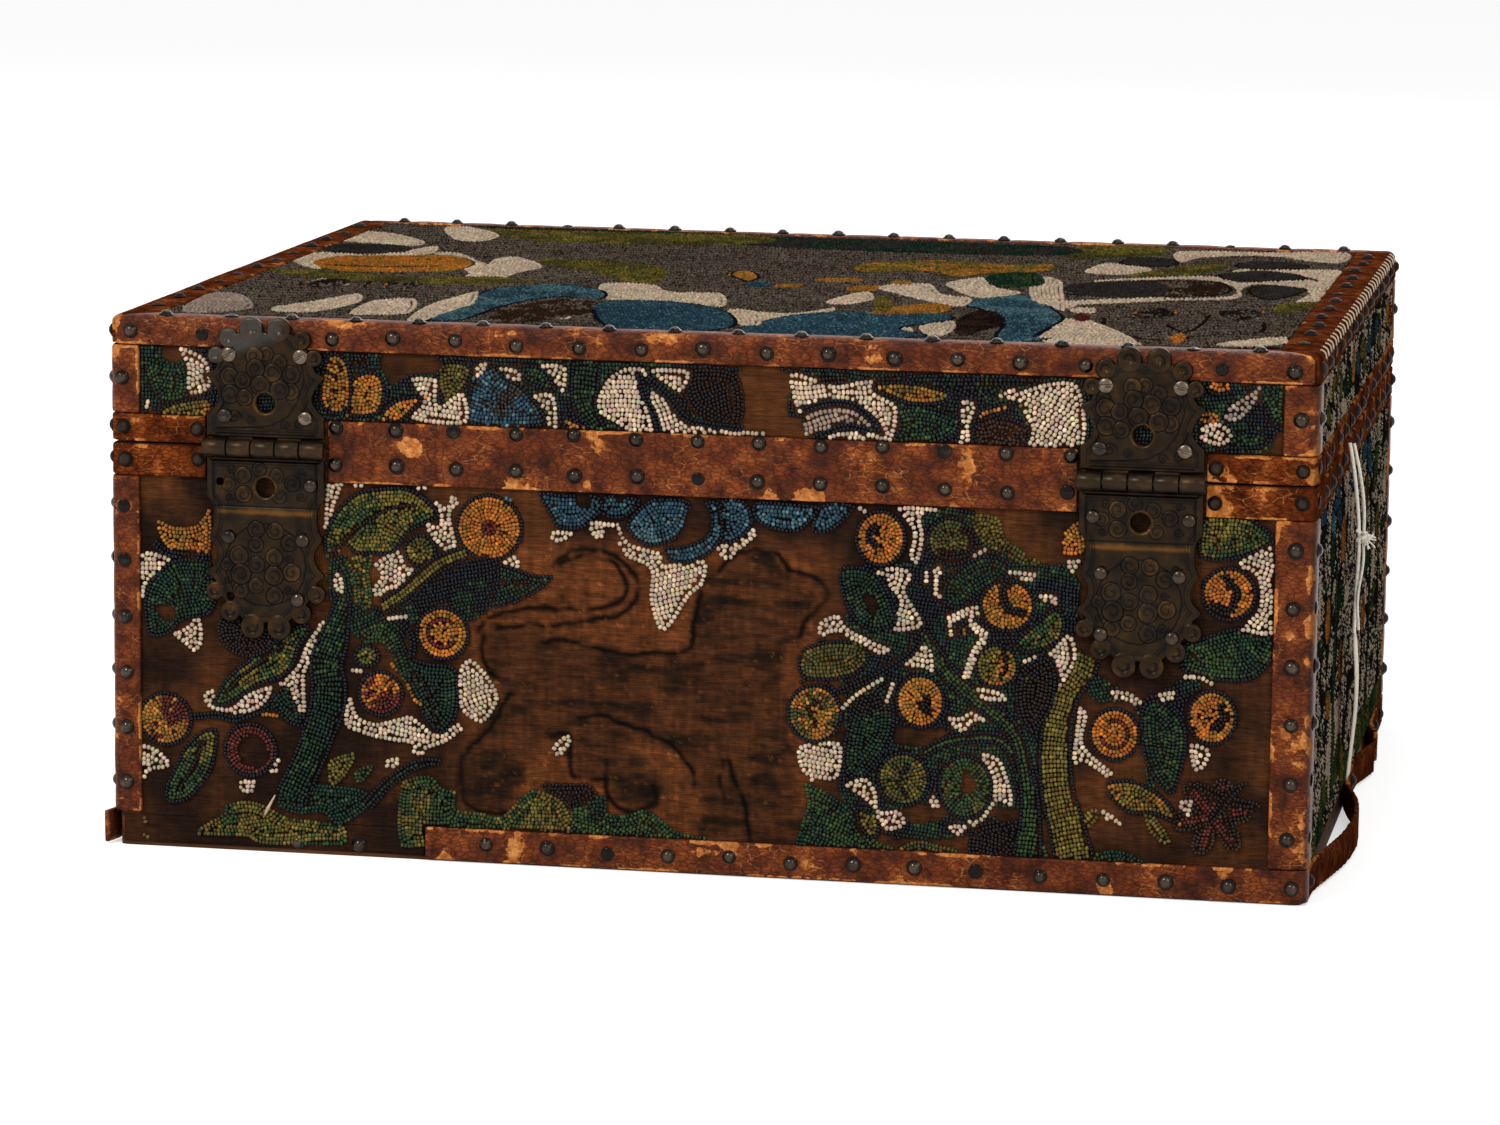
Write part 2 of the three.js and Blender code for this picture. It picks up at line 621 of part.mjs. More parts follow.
addPiece(lidGroup, 'lid_top_leather_rear', nailed(mitred(false, Math.PI), [
  ...onRear(rearTopRow, topRowZ),
  ...onTop(topLongRow, -topLongY),
]), leather);
addPiece(lidGroup, 'lid_top_leather_front', nailed(mitred(false, 0), [
  ...onFront(frontRow, topRowZ),
  ...onTop(topLongRow, topLongY),
]), leather);
addPiece(lidGroup, 'lid_top_leather_left', nailed(mitred(true, Math.PI), [
  ...onLeft(endRow, topRowZ),
  ...onTopEnd(endRow.slice(1, -1), -topEndX),
]), leather);
addPiece(lidGroup, 'lid_top_leather_right', nailed(mitred(true, 0), [
  ...onRight(endRow, topRowZ),
  ...onTopEnd(endRow.slice(1, -1), topEndX),
]), leather);

// The rim strips: one length round both ends and the front, open at the rear between the hinges
function rimStrip(leatherForm, foot, top) {
  const ring = leatherForm.intersect(block(
    -skinLength - overrun, skinLength + overrun,
    -skinDepth - overrun, skinDepth + overrun,
    foot, top,
  ));
  return ring.subtract(block(
    stubLeft, stubRight,
    -skinDepth - overrun, -halfDepth + overrun,
    foot - overrun, top + overrun,
  ));
}

function rimPlaces(z) {
  return [
    ...onRear(stubRow, z),
    ...onFront(frontRow, z),
    ...onLeft(endRow, z),
    ...onRight(endRow, z),
  ];
}

const lidRimZ = lidBottom + lidRimTall / 2;
const caseRimZ = caseHeight - caseRimTall / 2;
addPiece(lidGroup, 'lid_rim_leather', nailed(
  rimStrip(lidLeather, lidBottom, lidRimTop), rimPlaces(lidRimZ),
), leather);
addPiece(caseGroup, 'case_rim_leather', nailed(
  rimStrip(caseLeather, caseRimFoot, caseHeight), rimPlaces(caseRimZ),
), leather);

// The band between the hinges is one flexible strip nailed to the lid above and to the case below.
// Each row's height is a share of its rim's height, from the seam outwards.
const bandRowShares = { lid: 0.76, case: 0.425 };
addPiece(caseGroup, 'hinge_band', nailed(
  block(bandStart, bandEnd, -skinDepth, -halfDepth, caseRimFoot, lidRimTop),
  [
    ...onRear(bandRow, lidBottom + bandRowShares.lid * lidRimTall),
    ...onRear(bandRow, caseHeight - bandRowShares.case * caseRimTall),
  ],
), leather);

// The corner strips are bent round the vertical edges
function addCorner(group, prefix, leatherForm, sideX, sideY, widthX, widthY, foot, top) {
  const nearX = sideX * (skinLength - widthX);
  const nearY = sideY * (skinDepth - widthY);
  const farX = sideX * (skinLength + overrun);
  const farY = sideY * (skinDepth + overrun);
  const strip = leatherForm.intersect(block(
    Math.min(nearX, farX), Math.max(nearX, farX),
    Math.min(nearY, farY), Math.max(nearY, farY),
    foot, top,
  ));
  const heights = row(foot + cornerPitch / 2, top - cornerPitch / 2, cornerPitch);
  const places = top - foot < 2 * cornerPitch ? [(foot + top) / 2] : heights;
  const x = sideX * (skinLength - widthX / 2);
  const y = sideY * (skinDepth - widthY / 2);
  const name = `${prefix}_corner_leather_${sideY < 0 ? 'rear' : 'front'}`;
  addPiece(group, `${name}_${sideX < 0 ? 'left' : 'right'}`, nailed(strip, [
    ...places.map((z) => [x, sideY * skinDepth, z, sideY < 0 ? rearward : frontward]),
    ...places.map((z) => [sideX * skinLength, y, z, sideX < 0 ? leftward : rightward]),
  ]), leather);
}

const corners = [
  [-1, -1, caseCornerLeft, lidCornerLeft],
  [1, -1, caseCornerRight, lidCornerRight],
  [-1, 1, cornerOnFront, cornerOnFront],
  [1, 1, cornerOnFront, cornerOnFront],
];
for (const [sideX, sideY, caseWidth, lidWidth] of corners) {
  addCorner(caseGroup, 'case', caseLeather, sideX, sideY, caseWidth, cornerOnEnd, ...caseSpan);
  addCorner(lidGroup, 'lid', lidLeather, sideX, sideY, lidWidth, cornerOnEnd, ...lidSpan);
}

// The base strips. The front one laps both corners, and the rear one is torn off at its left.
const baseRowZ = baseStripLift + baseStripTall / 2;
const lapY = halfDepth - baseStripLap;
addPiece(caseGroup, 'base_leather_front', nailed(
  caseLeather.intersect(block(
    -skinLength - overrun, skinLength + overrun,
    lapY, skinDepth + overrun,
    baseStripLift, baseStripTop,
  )),
  onFront(frontRow, baseRowZ),
), leather);
addPiece(caseGroup, 'base_leather_rear', nailed(
  caseLeather.intersect(block(
    tornStart, skinLength + overrun,
    -skinDepth - overrun, -lapY,
    baseStripLift, baseStripTop,
  )),
  onRear(row(tornStart + longPitch, toRight, longPitch), baseRowZ),
), leather);

// Points of an outline that turn by less than this are dropped as straight
const straightShare = 0.001;

// A base strip of an end, seen from above. Each point says how far along the end it is, as a share
// of the half depth, and how far it stands off the wood, as a share of the leather's thickness.
function looseStrip(side, pathShares) {
  const path = new THREE.SplineCurve(pathShares.map(
    ([along, off]) => new THREE.Vector2(off * leatherThick, along * halfDepth),
  ));
  const inner = path.getPoints(3 * pathShares.length);
  const outer = inner.map((p) => new THREE.Vector2(p.x + leatherThick, p.y)).reverse();
  const lowest = (p) => (inner.includes(p) ? 0 : leatherThick);
  const outline = [...inner, ...outer].map((p) => (
    new THREE.Vector2(side * (halfLength + Math.max(p.x, lowest(p))), p.y)
  ));
  const bends = outline.filter((p, i) => {
    const before = outline[(i + outline.length - 1) % outline.length];
    const after = outline[(i + 1) % outline.length];
    const turn = p.clone().sub(before).cross(after.clone().sub(p));
    return Math.abs(turn) > straightShare * leatherThick * leatherThick;
  });
  return extrude(new THREE.Shape(bends), baseStripTall).translate(0, 0, baseStripLift);
}

const lapShare = lapY / halfDepth;
const leftPathShares = [
  [-1.01, 1.7], [-0.97, 1], [-0.92, 0.25], [-0.87, 0], [-0.8, 0], [0, 0], [lapShare, 0],
];
const peeledPathShares = [
  [-lapShare + 0.004, 0], [-0.93, 0], [-0.87, 0.4], [-0.76, 1.9], [-0.6, 3.9], [-0.42, 4.5],
  [-0.26, 3.5], [-0.12, 1.3], [-0.02, 0.1], [0.04, 0], [0.12, 0], [0.2, 0], [0.28, 1], [0.38, 2.4],
];
const remnantPathShares = [[0.5, 2.2], [0.58, 0.9], [0.66, 0], [0.74, 0], [0.85, 0], [lapShare, 0]];
const leftRowShares = [-0.83, 0.93];
const peeledTackShares = [-0.935, 0.1];
const remnantRowShares = [0.76, 0.9];
const placesIn = ([from, to]) => row(from * halfDepth, to * halfDepth, endPitch);
addPiece(caseGroup, 'base_leather_left', nailed(
  solid(looseStrip(-1, leftPathShares)),
  onLeft(placesIn(leftRowShares), baseRowZ),
), leather);
addPiece(caseGroup, 'base_leather_right', nailed(
  solid(looseStrip(1, peeledPathShares)),
  onRight(peeledTackShares.map((share) => share * halfDepth), baseRowZ),
), leather);
addPiece(caseGroup, 'base_leather_right_far', nailed(
  solid(looseStrip(1, remnantPathShares)),
  onRight(placesIn(remnantRowShares), baseRowZ),
), leather);

// Half of the outline of a leaf from the barrel outwards. Each point is a share of half the leaf's
// width and a share of its height.
const lidOutlineShares = [
  [0.99, 0], [0.99, 0.278], [0.87, 0.33], [0.79, 0.4], [0.81, 0.475], [0.9, 0.55], [0.99, 0.615],
  [0.84, 0.66], [0.78, 0.75], [0.66, 0.87], [0.47, 0.96], [0.24, 1], [0, 0.975],
];
const caseOutlineShares = [
  [0.99, 0], [0.99, 0.283], [0.89, 0.325], [0.87, 0.385], [0.89, 0.45], [0.95, 0.51],
  [0.85, 0.56], [0.82, 0.61], [0.87, 0.66], [0.99, 0.71], [0.85, 0.755], [0.75, 0.84],
  [0.5, 0.93], [0.25, 1], [0, 0.98],
];

// The petals round the end of a leaf: place across, place up and radius, as shares of the same
const lidPetalShares = [[0.82, 0.775, 0.146], [0.61, 0.922, 0.165], [0.236, 1.003, 0.203]];
const casePetalShares = [
  [0.86, 0.812, 0.156], [0.6, 0.922, 0.176], [0.225, 1.006, 0.207],
];

// The upright place of the eye, and the fixings: share across and share up
const lidEyeShare = 0.378;
const caseEyeShare = 0.222;
const lidScrewShares = [[-0.6, 0.785], [0.6, 0.785], [-0.68, 0.262], [0.68, 0.262]];
const caseNailShares = [
  [-0.76, 0.195], [0.77, 0.2], [-0.62, 0.505], [0.63, 0.51], [-0.6, 0.84], [0.54, 0.845],
];

// Two nails of the left case leaf are lost and leave open holes
const lostNails = { left: [0, 4], right: [] };

const leafInnerY = -skinDepth;
const leafOuterY = leafInnerY - plateThick;

// The bevelled plate of a leaf. way is 1 for the lid's leaf, which rises, and -1 for the case's.
function leafPlate(outlineShares, tall, way) {
  const half = leafWidth / 2;
  const right = outlineShares.map(([x, up]) => new THREE.Vector2(x * half, way * up * tall));
  const left = right.slice(0, -1).map((p) => new THREE.Vector2(-p.x, p.y)).reverse();
  const geometry = new THREE.ExtrudeGeometry(new THREE.Shape([...right, ...left]), {
    depth: plateThick - plateBevel,
    bevelEnabled: true,
    bevelThickness: plateBevel,
    bevelSize: plateBevelWide,
    bevelOffset: -plateBevelWide,
    bevelSegments: 1,
  });
  geometry.rotateX(Math.PI / 2).translate(0, leafInnerY, 0);
  const keep = block(-leafWidth, leafWidth, leafOuterY - overrun, leafInnerY, -2 * tall, 2 * tall);
  return solid(geometry).intersect(keep);
}

// A round body that points rearward: foot against the leaf's inner face, sides may taper
function rearwardStub(x, z, footRadius, endRadius, fromY, toY, sides) {
  const geometry = new THREE.CylinderGeometry(footRadius, endRadius, fromY - toY, sides);
  return solid(geometry.translate(x, (fromY + toY) / 2, z));
}

const knuckleLength = (barrelLength - (knuckleCount - 1) * knuckleGap) / knuckleCount;

function barrelBody(radius, length, sides, x) {
  const geometry = new THREE.CylinderGeometry(radius, radius, length, sides);
  return solid(geometry.rotateZ(Math.PI / 2).translate(x, pinAxisY, 0));
}

// The knuckles that a leaf owns: the case has the outer ones and every second one between
function addKnuckles(plate, own) {
  let leaf = plate;
  for (let i = 0; i < knuckleCount; i += 1) {
    const x = -barrelLength / 2 + knuckleLength / 2 + i * (knuckleLength + knuckleGap);
    if (i % 2 === own) {
      leaf = leaf.add(barrelBody(barrelRadius, knuckleLength, knuckleSides, x));
    } else {
      const reach = knuckleLength / 2 + knuckleGap;
      const clear = barrelRadius + knuckleClear;
      leaf = leaf.subtract(block(
        x - reach, x + reach, leafOuterY - overrun, leafInnerY + overrun, -clear, clear,
      ));
    }
  }
  const bore = barrelBody(pinRadius + pinClear, barrelLength + 2 * overrun, pinSides, 0);
  return leaf.subtract(bore);
}

const headProfile = [
  new THREE.Vector2(0, -plateThick / 2),
  new THREE.Vector2(screwRadius, -plateThick / 2),
  new THREE.Vector2(screwRadius * screwFlatShare, screwTall),
  new THREE.Vector2(0, screwTall),
];

function makeLeaf(way, tall, outlineShares, petalShares, eyeShare, fixingShares, lost) {
  const half = leafWidth / 2;
  let leaf = leafPlate(outlineShares, tall, way);
  for (const [x, up, radius] of petalShares) {
    for (const side of [-1, 1]) {
      const petalRadius = radius * half;
      leaf = leaf.add(rearwardStub(
        side * x * half, way * up * tall, petalRadius, petalRadius - petalRim,
        leafInnerY, leafInnerY - petalThick, petalSides,
      ));
    }
  }
  if (way < 0) {
    leaf = leaf.add(block(
      -half + raisedInset, half - raisedInset,
      leafOuterY - raisedThick, leafOuterY + plateBevel, -raisedTall, 0,
    ));
  }
  const faceY = leafOuterY - (way < 0 ? raisedThick : 0);
  leaf = leaf.subtract(rearwardStub(
    0, way * eyeShare * tall, eyeFoot, eyeRadius, leafInnerY + overrun, faceY - plateThick / 2,
    eyeSides,
  ));
  fixingShares.forEach(([x, up], i) => {
    const atX = x * half;
    const atZ = way * up * tall;
    if (lost.includes(i)) {
      leaf = leaf.subtract(rearwardStub(
        atX, atZ, nailHole, nailHole, leafInnerY + overrun, faceY - overrun, headSides,
      ));
    } else {
      const y = way < 0 && up * tall < raisedTall ? faceY : leafOuterY;
      leaf = leaf.add(dome(headProfile, headSides, atX, y, atZ, rearward));
    }
  });
  return addKnuckles(leaf, way > 0 ? 1 : 0);
}

const none = [];
for (const [side, x] of Object.entries(hinges)) {
  const caseLeaf = makeLeaf(-1, caseLeafTall, caseOutlineShares, casePetalShares, caseEyeShare,
    caseNailShares, lostNails[side]);
  const lidLeaf = makeLeaf(1, lidLeafTall, lidOutlineShares, lidPetalShares, lidEyeShare,
    lidScrewShares, none);
  const pin = barrelBody(pinRadius, barrelLength, pinSides, 0);
  const places = [
    [caseGroup, `hinge_case_leaf_${side}`, caseLeaf, brass],
    [lidGroup, `hinge_lid_leaf_${side}`, lidLeaf, brass],
    [caseGroup, `hinge_pin_${side}`, pin, steel],
  ];
  for (const [group, name, body, material] of places) {
    addPiece(group, name, geometryOf(body).translate(x, 0, seamMiddle), material);
  }
}

// The string hangs from the seam of the right end, and its tag hangs from the string
const stringPoints = [
  new THREE.Vector3(211.2, -56.5, 143),
  new THREE.Vector3(212, -56.3, 139),
  new THREE.Vector3(213.4, -55.5, 130),
  new THREE.Vector3(214.8, -54, 116),
  new THREE.Vector3(215.2, -53, 104),
  new THREE.Vector3(214.6, -52, 90),
  new THREE.Vector3(214.2, -51, 74),
];
const stringSides = 8;
const stringSteps = 14;
const section = new THREE.Shape(Array.from({ length: stringSides }, (_, i) => (
  new THREE.Vector2(
    stringRadius * Math.cos(fullCircle * i / stringSides),
    stringRadius * Math.sin(fullCircle * i / stringSides),
  )
)));
const stringGeometry = new THREE.ExtrudeGeometry(section, {
  steps: stringSteps,
  extrudePath: new THREE.CatmullRomCurve3(stringPoints),
});
addPiece(caseGroup, 'tag_string', solid(stringGeometry), cotton);
const stringEnd = stringPoints[stringPoints.length - 1];
addPiece(caseGroup, 'tag_card', blockGeometry(
  stringEnd.x - tagThick / 2, stringEnd.x + tagThick / 2,
  stringEnd.y - tagWide / 2, stringEnd.y + tagWide / 2,
  stringEnd.z - touchGap - tagTall, stringEnd.z - touchGap,
), card);

export default box;
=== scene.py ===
"""The looks of a beadwork document box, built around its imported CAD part.

Lengths are millimetres unless a comment says otherwise, and every mesh is made in metres.
"""
import math

import bpy
import json
import numpy as np
from mathutils import Matrix, Vector


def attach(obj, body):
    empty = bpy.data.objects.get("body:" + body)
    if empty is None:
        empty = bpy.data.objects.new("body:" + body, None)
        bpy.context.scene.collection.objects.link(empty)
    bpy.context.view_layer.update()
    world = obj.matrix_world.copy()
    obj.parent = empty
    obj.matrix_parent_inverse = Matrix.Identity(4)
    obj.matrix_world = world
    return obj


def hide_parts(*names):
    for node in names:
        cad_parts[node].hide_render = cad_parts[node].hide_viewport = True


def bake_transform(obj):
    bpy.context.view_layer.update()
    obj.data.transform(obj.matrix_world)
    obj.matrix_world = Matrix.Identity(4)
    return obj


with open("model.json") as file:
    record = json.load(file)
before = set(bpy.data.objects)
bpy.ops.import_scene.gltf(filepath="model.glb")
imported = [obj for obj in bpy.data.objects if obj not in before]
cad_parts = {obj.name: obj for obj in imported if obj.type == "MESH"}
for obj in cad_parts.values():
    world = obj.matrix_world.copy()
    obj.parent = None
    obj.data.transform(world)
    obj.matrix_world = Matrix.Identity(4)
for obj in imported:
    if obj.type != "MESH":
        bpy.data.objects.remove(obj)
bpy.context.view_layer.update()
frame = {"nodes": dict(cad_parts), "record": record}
NODES = frame["nodes"]
MM = 0.001

# The box, as the part's source has it
HALF_X, HALF_Y, SKIN = 208.0, 166.0, 2.0
SKIN_X, SKIN_Y, SKIN_TOP = HALF_X + SKIN, HALF_Y + SKIN, 188.0
LID_TOP = 186.0
SEAM_Z = 143.3
PIN_Y = -171.1
HINGES = {"left": -153.5, "right": 150.8}

# The camera, as fitted to corners of the box read in the photograph: degrees of yaw, pitch
# and roll, place, and focal length in pixels. The motifs' points are read with these values in
# full, and the camera itself is set up with them rounded.
TURNS = (10.770275, 9.43881, 0.613839)
PLACE = (361.52403, -1978.01047, 416.44052)
FOCAL = 5476.83068
PHOTO_WIDE, PHOTO_TALL = 1500, 1125
SENSOR = 36


def camera_axes(turns):
    """The directions to the camera's right, to its top and ahead of it."""
    yaw, pitch, roll = (math.radians(a) for a in turns)
    ahead = Vector((-math.sin(yaw) * math.cos(pitch), math.cos(yaw) * math.cos(pitch),
                    -math.sin(pitch)))
    right = Vector((math.cos(yaw), math.sin(yaw), 0))
    up = right.cross(ahead)
    across = right * math.cos(roll) + up * math.sin(roll)
    return across, up * math.cos(roll) - right * math.sin(roll), ahead


def make_camera():
    across, rise, ahead = camera_axes(round(a, 3) for a in TURNS)
    data = bpy.data.cameras.new("camera")
    data.sensor_width, data.sensor_fit = SENSOR, "HORIZONTAL"
    data.lens = round(FOCAL, 1) / PHOTO_WIDE * SENSOR
    data.clip_end = 100
    camera = bpy.data.objects.new("camera", data)
    bpy.context.scene.collection.objects.link(camera)
    camera.matrix_world = (Matrix.Translation([round(v * MM, 4) for v in PLACE])
                           @ Matrix((across, rise, -ahead)).transposed().to_4x4())
    bpy.context.scene.camera = camera


make_camera()


# Meshes and noise
def link(obj):
    """Adds an object to the scene."""
    bpy.context.scene.collection.objects.link(obj)
    return obj


def mesh_piece(name, verts, faces, material, smooth=True):
    """A mesh object. verts is (n, 3) in metres and faces an (m, 3) or (m, 4) array."""
    verts, faces = np.asarray(verts, np.float32), np.asarray(faces, np.int32)
    mesh = bpy.data.meshes.new(name)
    mesh.vertices.add(len(verts))
    mesh.vertices.foreach_set("co", verts.ravel())
    mesh.loops.add(faces.size)
    mesh.loops.foreach_set("vertex_index", faces.ravel())
    mesh.polygons.add(len(faces))
    starts = np.arange(0, faces.size, faces.shape[1], dtype=np.int32)
    mesh.polygons.foreach_set("loop_start", starts)
    mesh.update(calc_edges=True)
    if smooth:
        mesh.shade_smooth()
    mesh.materials.append(material)
    return link(bpy.data.objects.new(name, mesh))


def put_values(obj, name, values):
    layer = obj.data.attributes.new(name, "FLOAT", "POINT")
    layer.data.foreach_set("value", np.asarray(values, np.float32).ravel())


def put_colours(obj, name, colours):
    rgba = np.ones((len(colours), 4), np.float32)
    rgba[:, :3] = colours
    layer = obj.data.attributes.new(name, "FLOAT_COLOR", "POINT")
    layer.data.foreach_set("color", rgba.ravel())


def put_bake_map(obj, uv):
    """A flat map of its own, so that a bake keeps the pieces' colours. uv is per vertex, 0 to 1."""
    index = np.empty(len(obj.data.loops), np.int32)
    obj.data.loops.foreach_get("vertex_index", index)
    layer = obj.data.uv_layers.new(name="OFBake")
    layer.data.foreach_set("uv", np.asarray(uv, np.float32)[index].ravel())


TABLE = np.random.default_rng(11).random((24, 24, 24))


def noise(points, size, octaves=1):
    """Smooth noise from -1 to 1. size is the size of its features, in the points' unit."""
    total, share, weight = np.zeros(len(points)), 0.0, 1.0
    p = np.asarray(points, float) / size
    for octave in range(octaves):
        q = p * 2 ** octave + 7.3 * octave
        low = np.floor(q).astype(int)
        f = q - low
        f = f * f * (3 - 2 * f)
        value = np.zeros(len(q))
        for dx in (0, 1):
            for dy in (0, 1):
                for dz in (0, 1):
                    w = ((f[:, 0] if dx else 1 - f[:, 0]) * (f[:, 1] if dy else 1 - f[:, 1])
                         * (f[:, 2] if dz else 1 - f[:, 2]))
                    value += w * TABLE[(low[:, 0] + dx) % 24, (low[:, 1] + dy) % 24,
                                       (low[:, 2] + dz) % 24]
        total += weight * (2 * value - 1)
        share += weight
        weight *= 0.5
    return total / share


def ramp(x, low, high):
    """0 below low, 1 above high, with a soft step between."""
    t = np.clip((np.asarray(x, float) - low) / (high - low), 0, 1)
    return t * t * (3 - 2 * t)


def smooth_line(points, step, closed=False):
    """A Catmull-Rom line through the points, with its own points about step apart."""
    p = np.asarray(points, float)
    ends = [p[-1:], p, p[:2]] if closed else [p[:1], p, p[-1:]]
    knots = np.concatenate(ends)
    out = []
    for a, b, c, d in zip(knots, knots[1:], knots[2:], knots[3:]):
        count = max(1, int(round(np.linalg.norm(c - b) / step)))
        for t in np.arange(count) / count:
            out.append(0.5 * ((2 * b) + (c - a) * t + (2 * a - 5 * b + 4 * c - d) * t * t
                              + (3 * b - a - 3 * c + d) * t ** 3))
    if not closed:
        out.append(p[-1])
    return np.array(out)


def line_distance(points, line, closed=False):
    """The least distance of each point from a line, and from which side for a closed one."""
    a = np.asarray(line, float)
    b = np.roll(a, -1, 0) if closed else a[1:]
    a = a if closed else a[:-1]
    best = np.full(len(points), 1e9)
    odd = np.zeros(len(points), bool)
    for p, q in zip(a, b):
        d = q - p
        t = np.clip(((points - p) @ d) / (d @ d + 1e-12), 0, 1)
        best = np.minimum(best, ((points - p - t[:, None] * d) ** 2).sum(1))
        if closed:
            cross = (p[1] > points[:, 1]) != (q[1] > points[:, 1])
            with np.errstate(divide="ignore", invalid="ignore"):
                x = p[0] + (points[:, 1] - p[1]) * d[0] / d[1]
            odd ^= cross & (points[:, 0] < x)
    best = np.sqrt(best)
    return np.where(odd, best, -best) if closed else best


def linear(rgb):
    """sRGB from 0 to 255 as linear light from 0 to 1."""
    c = np.asarray(rgb, float) / 255
    return np.where(c <= 0.04045, c / 12.92, ((c + 0.055) / 1.055) ** 2.4)


# Materials
class Nodes:
    """A material's node tree, with short calls for the few kinds of node used here."""

    def __init__(self, name):
        self.material = bpy.data.materials.new(name)
        self.material.use_nodes = True
        self.tree = self.material.node_tree
        self.shader = self.tree.nodes["Principled BSDF"]
        self.place = self.add("ShaderNodeTexCoord").outputs["Object"]

    def add(self, kind, **inputs):
        node = self.tree.nodes.new(kind)
        for key, value in inputs.items():
            self.feed(node.inputs[key], value)
        return node

    def feed(self, socket, value):
        if isinstance(value, bpy.types.NodeSocket):
            self.tree.links.new(value, socket)
        elif isinstance(value, (tuple, list, np.ndarray)) and socket.type == "RGBA":
            socket.default_value = (*value[:3], 1)
        else:
            socket.default_value = value

    def attribute(self, name, output="Fac"):
        node = self.add("ShaderNodeAttribute")
        node.attribute_name = name
        return node.outputs[output]

    def noise(self, scale, detail=2.0, rough=0.5):
        node = self.add("ShaderNodeTexNoise", Vector=self.place, Scale=scale, Detail=detail,
                        Roughness=rough)
        return node.outputs["Fac"]

    def stretch(self, *scale):
        """Textures made after this are drawn out along the axes with a small scale."""
        self.place = self.add("ShaderNodeMapping", Vector=self.place, Scale=scale).outputs["Vector"]

    def cells(self, scale):
        """How far a place is from the edges of an irregular mosaic."""
        node = self.tree.nodes.new("ShaderNodeTexVoronoi")
        node.feature = "DISTANCE_TO_EDGE"
        self.feed(node.inputs["Vector"], self.place)
        self.feed(node.inputs["Scale"], scale)
        return node.outputs["Distance"]

    def math(self, kind, a, b=0.0, c=0.0, clamp=False):
        node = self.tree.nodes.new("ShaderNodeMath")
        node.operation, node.use_clamp = kind, clamp
        for socket, value in zip(node.inputs, (a, b, c)):
            self.feed(socket, value)
        return node.outputs[0]

    def span(self, value, low, high, to_low=0.0, to_high=1.0):
        node = self.tree.nodes.new("ShaderNodeMapRange")
        for socket, v in zip(node.inputs, (value, low, high, to_low, to_high)):
            self.feed(socket, v)
        return node.outputs[0]

    def mix(self, factor, a, b, kind="MIX"):
        node = self.tree.nodes.new("ShaderNodeMix")
        node.data_type, node.blend_type = "RGBA", kind
        self.feed(node.inputs[0], factor)
        self.feed(node.inputs[6], a)
        self.feed(node.inputs[7], b)
        return node.outputs[2]

    def colours(self, factor, *stops):
        node = self.add("ShaderNodeValToRGB", Fac=factor)
        ends = node.color_ramp.elements
        while len(ends) < len(stops):
            ends.new(0.5)
        for end, (at, rgb) in zip(ends, stops):
            end.position, end.color = at, (*linear(rgb), 1)
        return node.outputs["Color"]

    def bump(self, height, strength, distance):
        node = self.add("ShaderNodeBump", Height=height, Strength=strength, Distance=distance)
        self.feed(self.shader.inputs["Normal"], node.outputs["Normal"])

    def finish(self, **inputs):
        for key, value in inputs.items():
            self.feed(self.shader.inputs[key.replace("_", " ")], value)
        return self.material


def leather_material(name, gloss):
    n = Nodes(name)
    wear, dark = n.attribute("wear"), n.attribute("dark")
    broad, mottle, fine = n.noise(60, 3), n.noise(170, 4, 0.55), n.noise(1500, 3, 0.6)
    level = n.math("MULTIPLY", wear, 0.5)
    for part, share in ((broad, 0.9), (mottle, 1.2), (fine, 0.2)):
        level = n.math("ADD", level, n.math("MULTIPLY", n.math("SUBTRACT", part, 0.5), share))
    hide = n.colours(n.math("ADD", n.math("MULTIPLY", mottle, 0.7), n.math("MULTIPLY", broad, 0.3)),
                     (0.36, (60, 26, 12)), (0.5, (103, 46, 19)), (0.65, (142, 72, 31)))
    bare = n.colours(n.noise(520, 4, 0.6), (0.34, (158, 88, 40)), (0.52, (196, 120, 58)),
                     (0.7, (222, 156, 92)))
    worn = n.span(level, 0.3, 0.36)
    n.stretch(0.42, 0.42, 1.0)
    crack = n.span(n.cells(760), 0.0, 0.16)
    colour = n.mix(worn, hide, bare)
    split = n.math("MULTIPLY", n.span(n.cells(420), 0.0, 0.055, 1.0, 0.0), n.span(broad, 0.46, 0.6))
    colour = n.mix(n.math("MULTIPLY", split, 0.6), colour, bare)
    shade = n.math("MULTIPLY", n.math("SUBTRACT", 1.0, crack), n.span(worn, 0, 1, 0.7, 0.22))
    # dark holds the darkening round each tack, and painted shade on skin that faces right and, on
    # the dull strips, up.
    shade = n.math("MAXIMUM", shade, n.math("MULTIPLY", dark, 0.58))
    colour = n.mix(shade, colour, linear((28, 13, 9)))
    height = n.math("ADD", n.math("MULTIPLY", crack, 0.6), n.math("MULTIPLY", fine, 0.5))
    height = n.math("SUBTRACT", height, n.math("MULTIPLY", worn, 0.5))
    n.bump(height, 0.6, 0.0003)
    return n.finish(Base_Color=colour, Roughness=n.span(worn, 0, 1, 0.38, 0.62),
                    Specular_IOR_Level=gloss)


def metal_material(name, base, tint, rough, metallic=0.85, gloss=0.5):
    n = Nodes(name)
    # tint places each piece's colour between base and tint: its tone, and on tack heads also a
    # painted highlight.
    level = n.math("ADD", n.math("MULTIPLY", n.noise(420, 3), 0.6),
                   n.math("MULTIPLY", n.attribute("tint"), 0.5))
    colour = n.colours(level, (0.3, base), (0.75, tint))
    n.bump(n.noise(1800, 2), 0.25, 0.0001)
    return n.finish(Base_Color=colour, Metallic=metallic, Specular_IOR_Level=gloss,
                    Roughness=n.span(n.noise(300, 2), 0.3, 0.7, rough - 0.08, rough + 0.1))


